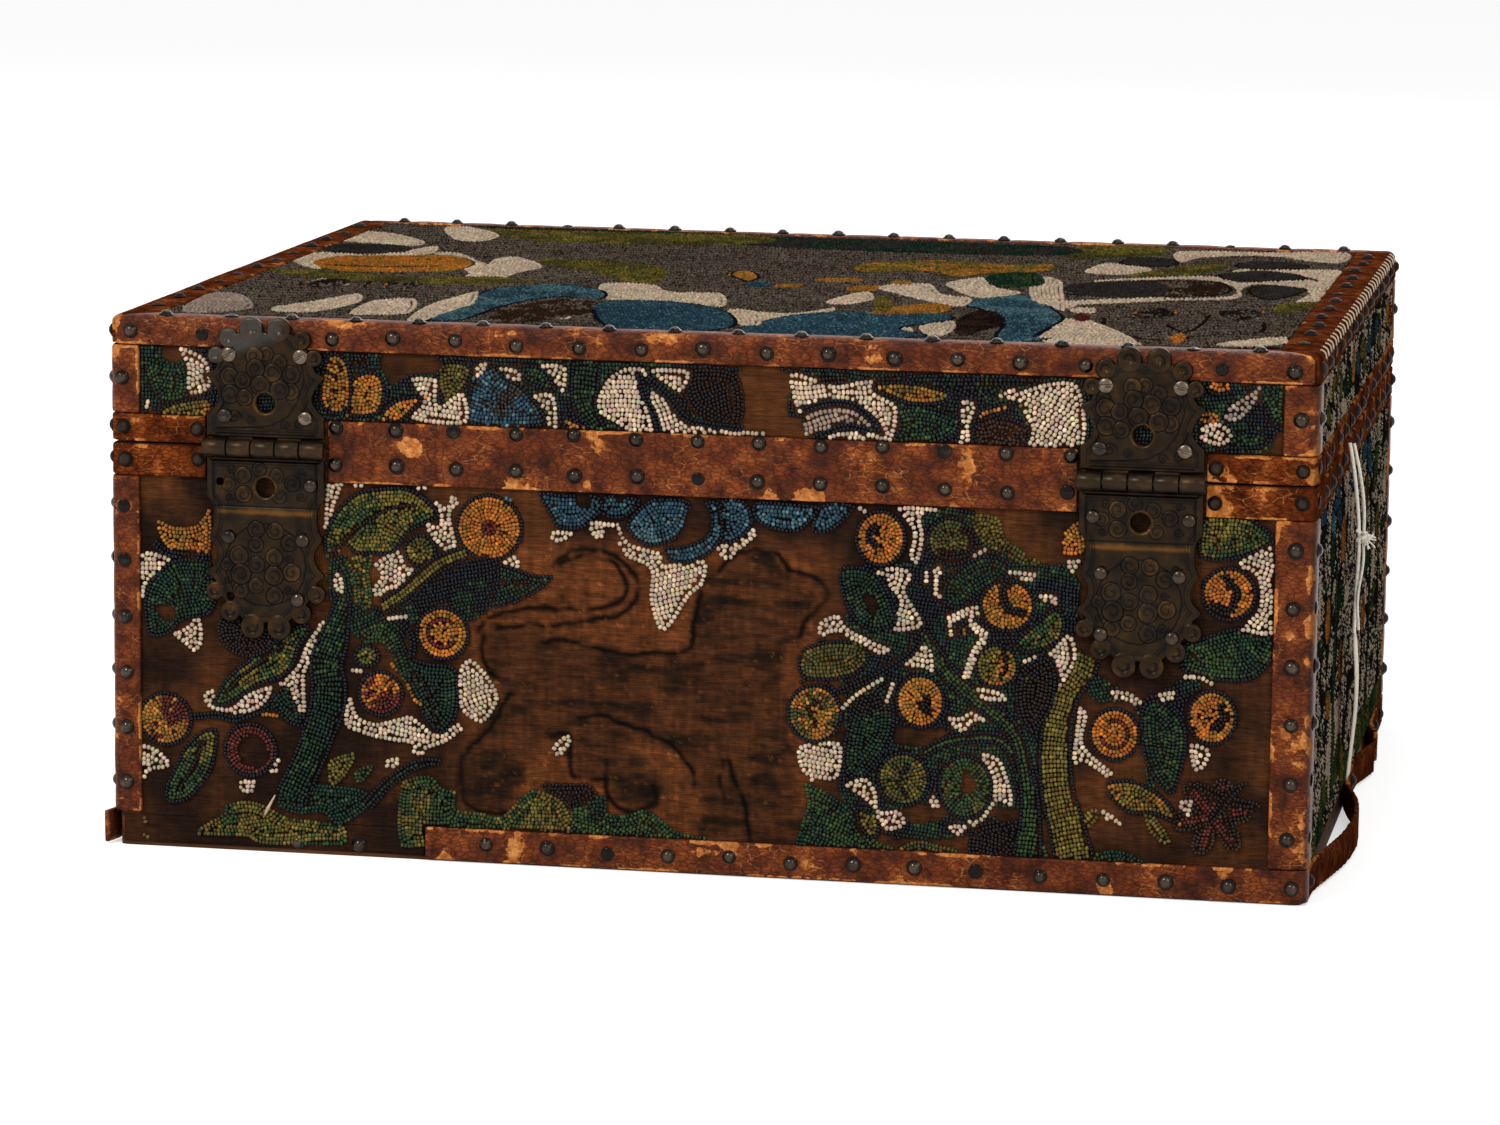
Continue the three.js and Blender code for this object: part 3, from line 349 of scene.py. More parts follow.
def brass_material():
    n = Nodes("dark_brass")
    # relief carries a painted sheen: lighter on the raised parts of the engraving, darker in its
    # grooves.
    relief, grey = n.attribute("relief"), n.attribute("grey")
    spot = n.noise(160, 3, 0.6)
    level = n.math("ADD", n.math("MULTIPLY", relief, 0.62), n.math("MULTIPLY", spot, 0.5))
    colour = n.colours(level, (0.16, (5, 5, 5)), (0.42, (24, 20, 16)), (0.58, (46, 33, 19)),
                       (0.8, (94, 62, 27)))
    colour = n.mix(grey, colour, linear((66, 62, 57)))
    n.bump(n.noise(1500, 2), 0.25, 0.0001)
    return n.finish(Base_Color=colour, Metallic=0.75, Specular_IOR_Level=0.12,
                    Roughness=n.span(spot, 0.3, 0.7, 0.26, 0.44))


def bead_material(name, gloss):
    n = Nodes(name)
    return n.finish(Base_Color=n.attribute("colour", "Color"), Roughness=0.11,
                    Specular_IOR_Level=gloss)


def linen_material():
    n = Nodes("linen")
    stain = n.attribute("colour", "Color")
    parts = n.add("ShaderNodeSeparateXYZ", Vector=n.place).outputs

    def threads(axis):
        wobble = n.math("MULTIPLY", n.noise(700, 1), 3.0)
        return n.math("SINE", n.math("ADD", n.math("MULTIPLY", axis, 2 * math.pi / 0.0006), wobble))

    across = n.math("ADD", parts["X"], parts["Y"])
    weave = n.math("ADD", threads(across), threads(parts["Z"]))
    n.stretch(0.12, 0.12, 1.0)
    fibre = n.noise(1300, 3, 0.6)
    shade = n.math("MULTIPLY", n.span(weave, -2.0, 2.0, 0.72, 1.18),
                   n.span(fibre, 0.3, 0.7, 0.6, 1.4))
    colour = n.mix(1.0, stain, shade, "MULTIPLY")
    n.bump(weave, 0.5, 0.0002)
    return n.finish(Base_Color=colour, Roughness=0.9, Specular_IOR_Level=0.05)


def wood_material():
    n = Nodes("wood")
    n.stretch(0.12, 1.0, 1.0)
    grain = n.noise(260, 4, 0.6)
    colour = n.colours(grain, (0.3, (48, 29, 18)), (0.5, (78, 48, 28)), (0.7, (108, 70, 42)))
    n.bump(grain, 0.3, 0.0004)
    return n.finish(Base_Color=colour, Roughness=0.7, Specular_IOR_Level=0.08)


def cloth_material():
    n = Nodes("lining_cloth")
    fade = n.noise(28, 3)
    colour = n.colours(fade, (0.3, (98, 66, 46)), (0.6, (128, 88, 62)), (0.8, (146, 106, 78)))
    n.bump(n.noise(1400, 2), 0.3, 0.0002)
    return n.finish(Base_Color=colour, Roughness=0.9, Specular_IOR_Level=0.03)


def plain_material(name, rgb, rough, scale=900, bump=0.3):
    n = Nodes(name)
    grain = n.noise(scale, 3)
    colour = n.colours(grain, (0.3, tuple(0.86 * c for c in rgb)), (0.7, rgb))
    n.bump(grain, bump, 0.0001)
    return n.finish(Base_Color=colour, Roughness=rough, Specular_IOR_Level=0.1)


LEATHER = leather_material("leather", 0.08)
DULL_LEATHER = leather_material("dull_leather", 0.0)
TACK = metal_material("tack_bronze", (22, 18, 16), (76, 63, 51), 0.18)
# A darker, duller copy of the tack metal for the strips seen at a slant: painted shade.
SHADED_DULL_TACK = metal_material("shaded_dull_tack", (22, 17, 15), (64, 50, 40), 0.5, 0.25, 0.05)
SCREW = metal_material("screw_metal", (50, 43, 37), (122, 106, 90), 0.26, 0.9)
BRASS = brass_material()
BEAD, GLOSSLESS_BEAD = bead_material("beadwork", 0.14), bead_material("glossless_beadwork", 0.0)
LINEN = linen_material()
WOOD = wood_material()
CLOTH = cloth_material()
STEEL = metal_material("pin_steel", (60, 56, 52), (110, 104, 98), 0.35, 0.95)
STRING = plain_material("string", (255, 247, 230), 0.9)
CARD = plain_material("tag_card", (232, 222, 200), 0.85, 300, 0.15)
THREAD = plain_material("stitch_thread", (206, 186, 160), 0.85)


def wear_material(node, material):
    """Gives a piece of the part one material."""
    data = NODES[node].data
    data.materials.clear()
    data.materials.append(material)


# What the beads show, as points read in zoomed crops of the photograph
# Each crop: its left and top edge in the photograph's pixels, and how much it is enlarged
CROPS = {"A": (90, 440, 3.563), "B": (400, 470, 3.267), "C": (800, 480, 3.484),
         "D": (1200, 300, 2.529), "E": (80, 190, 3.733), "F": (330, 200, 3.647),
         "G": (740, 220, 3.733), "H": (1050, 230, 4.126), "I": (430, 500, 1568 / 430)}
# Each plane that was read: the axis it is square to, its level in millimetres and its upward axis
REAR_BEADS, REAR_LINEN, TOP_BEADS = (1, -167.6, 2), (1, -167.0, 2), (2, 187.6, 1)

# Each line: kind, tones, option | points in the crop that the last @ names. A line that starts with
# a space goes on with the one before. A fruit is its middle and half sizes, and a trunk's points
# have widths. Earlier motifs take their places first.
CASE_MOTIFS = """
@A
bare|240,285 300,305 380,300 428,250 428,150 300,180 220,220
line k 1|870,400 930,330 1000,280 1080,245 1160,235
leaf nyg|830,400 835,330 880,240 950,180 1050,165 1130,175 1200,215 1245,265 1200,300 1130,340
  1080,400 1000,415 940,405 900,380 870,420
blob yg|930,420 1000,415 995,480 1000,540 990,600 940,580 935,500 900,450
line y 2|1330,405 1240,440 1180,490 1110,550 1040,595
line n 1|1330,380 1240,410 1170,460 1100,525 1030,570
line n 1|1330,425 1240,470 1190,510 1130,580 1050,615
fruit nyv|1175,395 60,60
fruit nao C|1255,690 98,98
bare|235,590 265,580 300,600 300,630 270,650 240,630
leaf ndd|290,435 360,420 430,440 470,500 430,620 330,640 280,690 215,700 195,640 190,560 220,490
line n 2|230,365 270,400 330,415 430,415
blob ao|240,290 300,310 380,305 430,260 430,395 380,410 300,398 245,345
rows w|205,400 290,430 215,500 185,580 165,655 155,600 160,500 175,430
rows w|385,640 397,720 375,757 330,722 300,690 340,665
fruit kkk|560,680 110,95
line k 1|490,890 560,830 640,770 700,720
leaf nyg|440,935 480,850 560,790 640,740 690,690 760,650 785,680 750,740 730,800 680,850 600,880
  530,930 470,950
trunk nd|905,560,60 885,640,85 865,720,110 840,800,120 850,880,130 842,960,130 815,1040,120
  790,1110,115 755,1190,115 715,1280,120
rows w|835,645 845,700 800,780 770,850 762,980 730,930 710,880 680,870 740,800 780,720
rows w|500,950 560,905 635,880 640,920 600,960 540,975 430,965 405,910 440,895 450,930
leaf ndd|640,930 690,880 740,900 765,980 760,1030 700,1000
fruit nma|268,995 98,98
line n 2|370,985 450,980 520,990 640,955 660,930
line a 1|500,1000 560,990 640,985 690,990
bare|545,1060 600,1060 640,1110 620,1160 560,1165 530,1120
fruit nmm|570,1105 98,98
line k 1|400,1080 370,1150 320,1230
leaf nyg|390,1040 450,1030 455,1100 430,1180 390,1240 340,1290 275,1295 265,1240 290,1170 330,1100
rows w|165,1085 240,1105 285,1150 265,1175 220,1175 180,1205 158,1150
rows w|530,1220 575,1215 575,1260 540,1255
rows w|640,1185 665,1130 680,1140 655,1190
rows w|1010,440 1090,395 1120,450 1160,490 1110,530 1060,540 1020,560 1003,530 1030,480
rows w|870,480 890,478 908,530 890,555 868,520
rows w|1225,215 1260,240 1285,205 1315,205 1280,270 1300,370 1275,402 1220,360 1190,310 1240,300
rows w|845,150 900,140 880,200 860,260 850,330 838,320
rows w|930,170 960,135 1040,132 1020,155 960,165
line w 1|1090,140 1180,152 1280,158 1430,166
rows w|1130,142 1200,155 1180,180
blob dg|960,680 1030,660 1095,700 1125,770 1145,850 1110,860 1085,790 1040,725 975,725
line a 1|1075,800 1120,860 1150,920 1180,950
fruit nyv|985,770 48,42
line k 1|1160,830 1200,900 1230,1010
leaf ndd|1130,780 1200,800 1290,810 1315,880 1300,990 1250,1050 1200,1010 1150,920 1120,850
fruit nmo|1035,905 84,84
rows w|1315,820 1350,785 1400,820 1430,870 1452,930 1400,1003 1350,990 1318,940
rows w|925,910 950,990 1010,1010 1060,1005 1130,980 1170,1010 1230,1050 1300,1010 1320,1020
  1290,1060 1260,1085 1190,1110 1190,1125 1140,1112 1140,1090 1040,1070 960,1050 905,1015
line w 1|930,822 968,824
line w 1|1068,633 1132,633
rows w|1052,1138 1103,1138 1098,1168 1060,1168
line n 2|1000,600 1080,640 1140,700 1145,790
rowsf nd|860,420 930,440 1000,600 1120,560 1240,440 1330,420 1460,440 1400,620 1160,650 1110,660
  1140,860 1110,800 1050,720 950,700 900,620 850,560
blob yg|860,1140 935,1115 930,1160 900,1210 860,1235 850,1190
blob dg|945,1180 1000,1158 1003,1180 965,1230 940,1220
trunk nd|990,1300,44 1060,1225,44 1130,1175,40 1190,1150,34 1248,1150,26
blob dd|690,1240 760,1230 870,1235 960,1245 1005,1290 940,1350 880,1375 830,1330 740,1340 665,1300
blob yg|385,1390 470,1330 480,1300 560,1290 640,1310 700,1340 800,1360 900,1370 905,1420 800,1430
  700,1440 600,1440 560,1420 480,1410 400,1405
blob gd|570,1400 640,1380 800,1400 900,1400 900,1440 700,1442 600,1442
line y 1|185,1410 215,1425 230,1460
line y 1|190,1340 200,1370
@B
line k 1|180,410 240,380 330,370 420,365
bare|165,390 200,370 250,375 270,395 220,410
leaf ndd|150,370 240,300 330,310 420,340 495,350 440,400 350,450 240,460 180,430 160,400
fruit noo m|290,190 112,112
rows w|325,320 380,280 388,328
blob yg|0,1215 0,1040 40,1010 100,1005 140,1040 185,1050 185,1110 260,1125 330,1130 400,1060
  440,1050 520,1080 560,1140 610,1215 400,1225 100,1230
blob kn|460,1030 560,1022 610,1030 640,1065 560,1110 520,1075
blob dg|560,1100 640,1065 675,1080 680,1120 740,1130 800,1115 860,1150 900,1180 990,1218 610,1222
bare|570,85 620,85 625,115 590,125
leaf nbb|455,75 540,80 640,88 665,120 640,160 590,195 520,190 490,150
bare|700,88 740,88 735,110 705,108
leaf nbb|670,85 760,85 790,110 740,150 690,165 660,140
bare|935,150 960,120 990,170 985,220 940,235 900,215
leaf nlb|800,110 850,95 950,108 935,180 885,240 805,250 750,215 740,170
leaf nbb|860,255 930,245 1000,210 1015,150 990,110 1040,105 1055,200 1020,270 950,300 880,300
leaf nbb|1050,105 1130,108 1150,170 1110,230 1055,245 1040,180
leaf nlb|1160,108 1290,108 1370,118 1340,170 1290,205 1200,192 1150,150
leaf nbb|1380,118 1480,118 1450,170 1390,205 1340,200
rows w|710,185 750,240 850,272 860,310 990,292 988,370 940,420 880,522 840,515 815,420 815,330
  730,272
rows w|495,205 560,205 555,225 520,237 500,225
rows w|610,180 660,172 668,215 640,225
line w 1|670,182 715,183
line w 2|1010,270 1060,245 1100,250 1165,195
rows w|1035,245 1095,255 1090,290 1045,285
rows w|490,910 540,868 562,885 520,935
blob ll|340,90 365,100 360,120 340,110
@C
line k 2|255,160 240,200 270,235
fruit noo|280,205 90,100
line k 2|560,170 600,200 590,250 520,270 480,250
fruit nyv|525,215 88,88
rows w|195,88 240,100 210,110
rows w|340,92 475,100 420,130 432,200 410,290 380,272 388,180
bare|700,130 800,125 925,130 915,240 890,300 840,290 780,260 735,200
blob yv|600,128 690,128 722,200 790,260 835,290 780,300 700,250 640,220
blob ao|895,230 930,170 975,150 990,250 930,268
bare|215,410 250,395 275,430 270,480 240,480
leaf ndd|140,315 230,310 290,350 322,430 332,500 250,525 180,480 145,400
rows w|295,310 370,310 385,345 365,390 430,500 400,522 320,524 342,430 310,370
rows w|60,540 75,490 130,470 165,515 240,560 315,592 270,612 200,570 140,530
line w 1|230,318 290,325
line k 2|720,360 700,400 720,450 780,460
fruit nao|722,440 100,95
leaf ndd|510,345 590,280 660,258 735,300 690,350 620,400 560,450 500,430
line w 2|470,320 485,325 480,405
line w 1|440,320 440,360
rows w|685,318 760,318 830,332 800,358 760,335 690,335
rows w|605,268 640,245 635,262
rows w|825,400 885,405 900,435 850,425
rows w|935,285 970,285 960,320 940,330
leaf nyg|755,560 830,480 900,450 925,500 900,570 820,602 770,605
line w 2|520,485 610,455 600,500 650,550
line w 2|650,550 605,600 575,690
line w 1|515,485 525,555
fruit nyy|570,530 26,26
line k 1|700,590 720,640 700,690
fruit nay|685,650 80,82
rows w|620,725 700,740 715,772 640,765
leaf nyv|0,600 90,560 200,570 240,620 200,680 100,700 0,690
line k 1|40,620 110,600 180,620
line n 2|140,735 250,690 330,640 380,600 430,545
line n 1|130,740 60,690 0,705
rows w|360,640 400,590 455,590 465,670 420,660
line w 1|300,770 325,710
line w 1|150,800 200,745 290,690
line k 2|440,760 430,790 460,810
fruit noa|418,772 88,98
line k 1|60,770 30,800 60,850
fruit nav|50,815 98,105
leaf ndk|230,690 300,720 335,800 320,900 260,1000 200,1045 150,1000 160,880 190,780
rows w|0,925 130,915 152,960 122,1042 50,1042 20,1030 0,1000
line w 1|20,1020 50,1050
bare|325,860 420,855 520,880 430,930 340,920
leaf nkk|770,660 850,620 890,680 880,790 830,870 780,860 750,760
rows w|785,640 860,605 940,540 960,620 915,720 900,680 870,620
blob yv|840,780 862,765 865,820 845,820
trunk ny|1010,615,90 975,680,100 930,740,100 905,820,105 890,900,115 888,1000,120 900,1100,125
  925,1200,135 955,1325,150
trunk ng|430,540,50 480,620,60 540,700,65 620,770,65 700,830,65 760,910,60 785,1010,60 800,1110,70
  800,1210,85 790,1315,110
rows w|510,830 560,820 590,810 650,850 600,850 560,880
line k 1|370,1000 350,1060 380,1110
fruit nyv|360,1045 95,98
bare|560,1030 590,1020 605,1070 590,1100 565,1095
fruit nvg|575,1072 95,115
trunk ng|430,955,40 500,915,40 590,900,45 680,900,45 735,940,45 760,1010,40
rows w|635,958 690,970 720,1030 742,1100 735,1143 690,1120 640,1185 600,1200 545,1240 515,1200
  600,1200 660,1130 672,1050
rows w|158,1062 230,1040 262,1090 280,1150 350,1160 362,1210 290,1225 270,1160 220,1110
rows w|455,1100 480,1110 485,1150 460,1140
line w 1|740,905 760,930
bare|360,1140 500,1130 510,1185 400,1195
bare|650,1150 760,1145 780,1190 700,1190
leaf nyy|200,1140 230,1150 275,1180 275,1245 230,1250 195,1190
blob av|340,1285 400,1260 470,1270 560,1300 550,1320 400,1318 340,1300
blob nk|600,1220 700,1185 775,1180 770,1260 710,1335 600,1330
blob vy|610,1270 680,1290 700,1330 620,1325
blob gd|760,1260 830,1240 860,1330 750,1335
blob gd|15,1055 80,1080 150,1130 200,1180 250,1250 335,1290 300,1312 0,1302 0,1200 25,1130
fruit noo D|1095,888 92,95
bare|950,1010 1060,1040 1060,1120 980,1130 940,1060
rows w|975,795 1003,820 990,930 1085,1020 1060,1032 985,985 950,992 955,860
rows w|1078,733 1150,742 1195,785 1130,772
rows w|1250,742 1310,740 1300,765 1260,765
leaf ndg|1190,800 1250,770 1325,830 1345,930 1305,1090 1240,1062 1190,960
line k 2|1465,790 1470,840 1440,870
fruit noa|1435,830 88,100
rows w|1362,925 1430,942 1400,1015 1362,1005
leaf nay|1060,1060 1150,1042 1230,1080 1290,1130 1320,1205 1230,1170 1150,1170 1090,1120
blob ay|1195,1170 1240,1180 1285,1250 1270,1270 1220,1230
blob ya|975,1190 1010,1150 1050,1155 1020,1200 990,1215
rows w|1050,1150 1080,1165 1125,1200 1070,1180
rows w|1320,1125 1365,1125 1350,1185
line w 1|1340,690 1390,690 1435,712
blob gd|1030,1295 1120,1290 1200,1335 1180,1345 1030,1330
rowsf nd|1000,660 1060,700 1200,760 1350,690 1400,720 1340,780 1330,1000 1220,1080 1190,900
  1160,780 1020,760
@D
leaf nyg|0,555 60,545 130,553 192,600 192,618 100,655 0,655
line k 2|60,700 90,740 70,790 30,770
fruit noo|72,745 72,70
rows w|100,662 195,628 197,832 110,838 150,775 142,700
leaf ndg|-45,875 0,850 100,825 196,835 196,885 140,955 60,965 -40,940
trunk km|65,1265,26 40,1300,24 15,1330,16
trunk km|65,1265,26 90,1240,22 120,1225,14
trunk km|65,1265,26 70,1310,24 85,1360,18
trunk km|65,1265,26 110,1275,24 150,1280,16
trunk km|65,1265,26 20,1240,24 -15,1225,16
"""

CASE_GROUND = """
@D
rows w|-10,1130 10,1120 20,1150 0,1160
rows w|176,1155 190,1150 190,1195 178,1190
@C
rowsf nd|430,105 640,130 760,280 960,330 960,560 960,640 900,1000 820,1200 600,1240 300,1240
  150,1110 160,900 140,700 0,690 60,560 150,560 190,320 370,290 430,200
"""

LID_MOTIFS = """
@E
bare|300,575 370,580 380,640 320,640
blob gd|245,625 330,650 392,665 392,770 300,775 250,700
rows w|368,583 440,610 485,660 485,745 400,762 400,665
rows w|250,790 262,790 258,820 248,815
leaf nya|290,830 350,790 480,770 495,855 400,860 320,860
leaf nak|925,620 985,620 1010,700 1000,830 925,830 890,760
fruit kkk|1050,640 30,26
leaf nao|980,800 1000,720 1060,680 1120,690 1140,760 1110,840 1000,848
leaf noa|1120,840 1180,780 1290,768 1240,840 1180,872
bare|1140,600 1330,620 1330,690 1240,690 1160,740 1130,680
@F
rows w|300,650 388,660 392,700 400,750 480,700 490,820 300,805 340,740
leaf nyv|400,588 505,592 512,660 430,755 390,692
rows w|540,600 570,600 555,640 535,635
leaf nbc|520,655 600,600 640,640 700,680 770,770 772,830 500,822 500,720
rows w|620,612 690,620 692,672 640,650
leaf ndg|690,605 760,610 800,640 825,700 760,690 700,660
rows w|760,605 855,608 850,690 830,680
rows w|708,718 810,718 822,850 765,838 790,780 730,745
trunk nd|935,605,110 930,660,110 925,720,100 940,780,80 990,850,50
leaf nao|820,795 870,785 960,850 880,848
line n 2|1130,640 1150,720 1185,800 1200,850
line n 2|1160,650 1230,720 1290,790 1370,820 1500,832
rows w|1000,665 1060,620 1150,618 1150,720 1180,850 1130,862 1040,820 965,765
rows w|1170,700 1230,720 1290,790 1370,830 1560,845 1560,872 1195,860
rows w|1165,618 1305,620 1282,700 1240,690
blob kk|1300,625 1490,640 1490,830 1350,790 1290,720
line a 2|1380,640 1430,650 1480,700
@G
bare|0,560 172,570 180,720 235,740 225,835 0,835
line n 2|240,712 290,690 350,680 430,700 505,770
line n 2|265,825 330,790 400,775 480,785
blob kk|285,590 390,590 360,615
rows p|248,735 340,700 430,720 480,775 300,785 240,815
rows w|180,575 285,590 360,618 480,600 500,650 590,700 560,832 520,760 430,690 350,672 250,700
  210,722
rows w|290,820 380,795 500,800 560,845 300,840
leaf nya|470,625 540,600 660,608 780,640 760,682 640,690 540,655
leaf ndg|590,705 700,700 820,740 805,812 700,852 560,842 592,770
blob ya|690,790 750,765 800,770 780,800 700,820
rows w|830,680 880,690 860,770 855,860 810,860 820,780
leaf nya|870,760 900,705 1045,680 1045,700 920,752
fruit nee|975,800 112,62
rows w|1050,640 1260,620 1275,872 1050,872 1090,790 1060,720
rows w|960,660 1010,630 1040,640 1030,670
blob ndk|560,590 1310,595 1310,620 1000,640 900,690 780,640 600,610
@H
fruit noa|700,650 60,34
blob oa|625,760 690,755 700,795 620,795
rows p|740,740 820,680 870,650 850,720 780,790 720,790
rows w|620,820 700,800 760,850 700,890 620,870
leaf ndg|860,655 985,640 985,800 940,825 900,760
leaf ngd|720,870 820,830 900,850 880,905 740,905
rows w|930,760 990,720 990,780 950,800
bare|940,830 995,800 995,912 900,912
"""

TOP_MOTIFS = """
@E
rows w|790,170 950,160 1040,152 1160,160 1285,190 1240,206 1100,196 1000,190
rows w|1360,140 1450,135 1568,165 1500,190 1400,180
blob cc|900,205 1100,200 1230,210 1200,230 950,232
rows w|780,250 900,230 1100,238 1320,208 1310,235 1230,245 1000,245 880,262 900,290 850,285
line k 3|930,280 1100,285 1350,285
leaf vao|860,270 960,245 1180,237 1400,245 1480,270 1400,300 1180,306 960,300
rows w|1330,235 1400,240 1568,290 1568,315 1440,320 1490,285
blob yv|690,295 900,300 1200,322 1568,322 1568,348 1200,345 880,325
fruit ckr|930,345 70,18
rows p|870,335 930,325 995,335 990,352 900,358
fruit ckr|1215,350 60,20
rows p|1180,350 1215,335 1245,345 1215,368
trunk ko|820,350,20 840,340,16
trunk ko|1060,360,20 1080,345,16 1090,335,14
trunk ko|1145,355,16 1165,330,14 1200,322,14
rows w|720,437 860,415 1030,385 1045,415 900,448 760,452
rows w|1010,455 1100,410 1250,405 1225,455 1100,462
rows w|1220,480 1300,430 1400,398 1485,378 1470,420 1380,450 1270,488
rows p|385,430 480,385 560,380 625,400 630,440 420,455
@F
blob yv|560,108 800,110 1100,118 1568,128 1568,158 1000,158 700,140
blob dc|560,90 1568,110 1568,128 1100,118 700,108
rows w|380,190 480,195 560,235 600,215 680,205 770,240 690,262 600,290 520,270 440,215
blob yv|760,218 900,214 1200,240 1222,282 1140,302 950,262 820,240
leaf kaa|1455,270 1500,254 1550,262 1568,280 1520,295
blob yv|250,285 500,292 740,290 700,300 450,302 250,296
leaf nbl|350,432 480,382 560,330 700,312 860,305 1000,330 990,360 860,352 760,360 620,390 480,436
blob re|580,402 700,380 850,358 960,362 960,400 900,420 700,445 560,440
leaf nbb|990,372 1200,365 1380,388 1475,418 1460,462 1250,482 1020,460 960,400
line k 1|1010,380 1100,440 1250,450
line k 1|1100,380 1200,420 1400,440
rows w|985,310 1060,300 1185,310 1235,332 1425,340 1435,385 1300,372 1120,362 1000,357
rows w|1450,398 1568,408 1568,455 1480,445
rows w|780,425 830,398 905,405 860,430
@G
blob cd|0,60 600,75 1220,100 1200,130 600,118 0,90
blob yv|1220,112 1300,96 1568,98 1568,130 1250,138
leaf vay|430,165 600,152 780,150 1000,165 1175,165 1150,190 950,198 800,212 700,192 450,192
blob gd|930,205 1100,198 1125,240 960,248
blob aa|285,218 440,216 440,228 300,226
blob aa|400,250 510,242 500,262 410,262
blob aa|560,228 620,225 640,236 580,238
blob aa|130,240 225,240 210,248 140,248
blob bb|20,230 100,230 110,245 30,245
rows w|520,245 700,235 760,275 860,290 830,320 700,300 560,265
rows w|770,232 920,213 955,250 1050,270 900,288 800,255
rows w|1090,212 1195,222 1212,270 1215,330 1180,325 1090,292
rows w|320,302 465,265 505,290 400,312
blob yy|500,290 560,285 560,340 510,335
blob aa|480,345 600,320 760,310 760,340 560,352
leaf nbb|0,400 200,352 480,338 760,352 785,372 600,402 700,432 400,442 130,432 0,422
rows w|0,340 200,346 350,325 320,342 170,362 0,382
rows w|670,395 800,375 790,412 720,432
blob ek|800,392 860,342 950,340 985,380 900,412 830,430
leaf nlb|820,312 900,292 1100,280 1180,332 1205,370 1110,430 1160,442 1000,456 950,430 985,378
  900,335
rows w|1120,432 1200,392 1320,380 1480,450 1400,468 1150,452
rows w|530,410 640,400 620,440 520,440
rows w|1220,300 1568,288 1568,300 1240,312
blob cc|1200,250 1350,230 1568,235 1568,280 1300,282
@H
leaf kcc|290,130 350,110 500,118 530,140 450,150 330,145
leaf kcc|760,140 850,128 980,132 1080,150 960,162 800,158
leaf kcc|700,182 850,168 1000,178 1060,200 900,210 740,205
leaf kre|40,240 200,212 500,205 700,215 750,250 650,270 300,272 100,265
leaf kcc|820,240 900,225 1020,235 1060,250 930,285 840,270
rows w|150,165 220,135 300,140 420,160 340,180 180,178
rows w|520,90 700,85 900,90 1215,90 1210,130 1100,130 900,105 640,110 540,130
rows w|780,160 850,160 1000,162 1210,170 1160,250 1080,260 1060,230 1100,200 900,165 760,170
rows w|200,205 500,190 700,190 760,212 820,215 1080,205 1060,235 870,222 790,240 740,282 280,285
  740,270 720,215 500,200 220,215
blob yv|330,180 560,150 700,140 740,150 600,185 400,195
blob yv|920,322 960,300 1090,296 1100,312 1000,338 940,345
rows w|960,330 1080,260 1150,262 1120,285
rows w|0,205 60,290 110,300 80,320 0,300
fruit ckr|430,342 70,22
rows p|390,330 480,330 480,355 395,355
fruit ckr|795,348 75,22
rows p|745,335 845,335 845,365 750,360
trunk ko|350,345,22 375,335,18
trunk ko|500,350,20 515,335,18
trunk ko|710,350,20 725,330,18
trunk ko|855,350,20 875,335,18
blob oo|500,440 540,425 560,440 520,465
rows w|85,320 190,320 180,340 95,335
blob mm|110,345 160,350 150,375 105,370
rows w|0,372 100,365 180,372 190,412 350,460 340,470 0,468
rows w|680,470 760,455 990,438 960,465 800,478
line k 1|220,360 240,420 340,440 480,450
line k 1|480,390 560,420 620,390 660,350
line k 1|560,440 700,430 860,420 880,380
"""

# Where beads are lost on the rear, the linen keeps the ink of an animal with a curled tail
ANIMAL = """
@I
body|190,480 195,600 255,720 140,900 115,1100 280,1140 330,1050 380,900 520,860 515,1000 640,1010
  665,1110 800,1110 860,1040 700,880 800,860 960,1000 980,1100 1010,1240 1340,1250 1340,900
  1290,600 1420,400 1445,320 1300,250 1210,190 1060,240 965,400 930,545 700,555 480,510 300,455
ink|445,250 470,215 540,182 610,180 680,205 730,250 763,310 750,370 700,415 620,440 520,455 400,458
  280,458 215,470 190,530 195,600 235,650
ink|470,245 520,215 600,207 660,230 705,280 715,330 690,375 620,398 540,400 440,397 330,405 240,420
  200,445 180,480
ink|400,520 480,513 600,535 700,560 850,565 940,540 965,430 1000,320 1060,240 1140,200 1215,190
  1270,205 1300,250 1340,265 1400,275 1440,310 1450,360 1420,400 1370,440 1340,500
ink|300,700 255,740 235,800 160,890 120,950 112,1040 130,1110 200,1137 275,1140
ink|400,880 460,850 520,870 508,940 515,1000 560,1012 640,1018
ink|640,960 640,1040 665,1110 740,1140 810,1110 820,1050
ink|540,800 620,790 700,810 800,850 880,900 950,980 965,1040
ink|1060,960 1055,1030 1075,1090
ink|1090,960 1120,1040 1150,1110 1160,1180 1165,1250
"""


def read_off(crop, plane, x, y):
    """The millimetre place on a plane of the box that a point of a crop shows."""
    left, top, scale = CROPS[crop]
    axis, level, upward = plane
    across, rise, ahead = (np.array(direction) for direction in camera_axes(TURNS))
    sight = (ahead + (left + x / scale - PHOTO_WIDE / 2) / FOCAL * across
             - (top + y / scale - PHOTO_TALL / 2) / FOCAL * rise)
    place = PLACE + (level - PLACE[axis]) / sight[axis] * sight
    return place[0], place[upward]


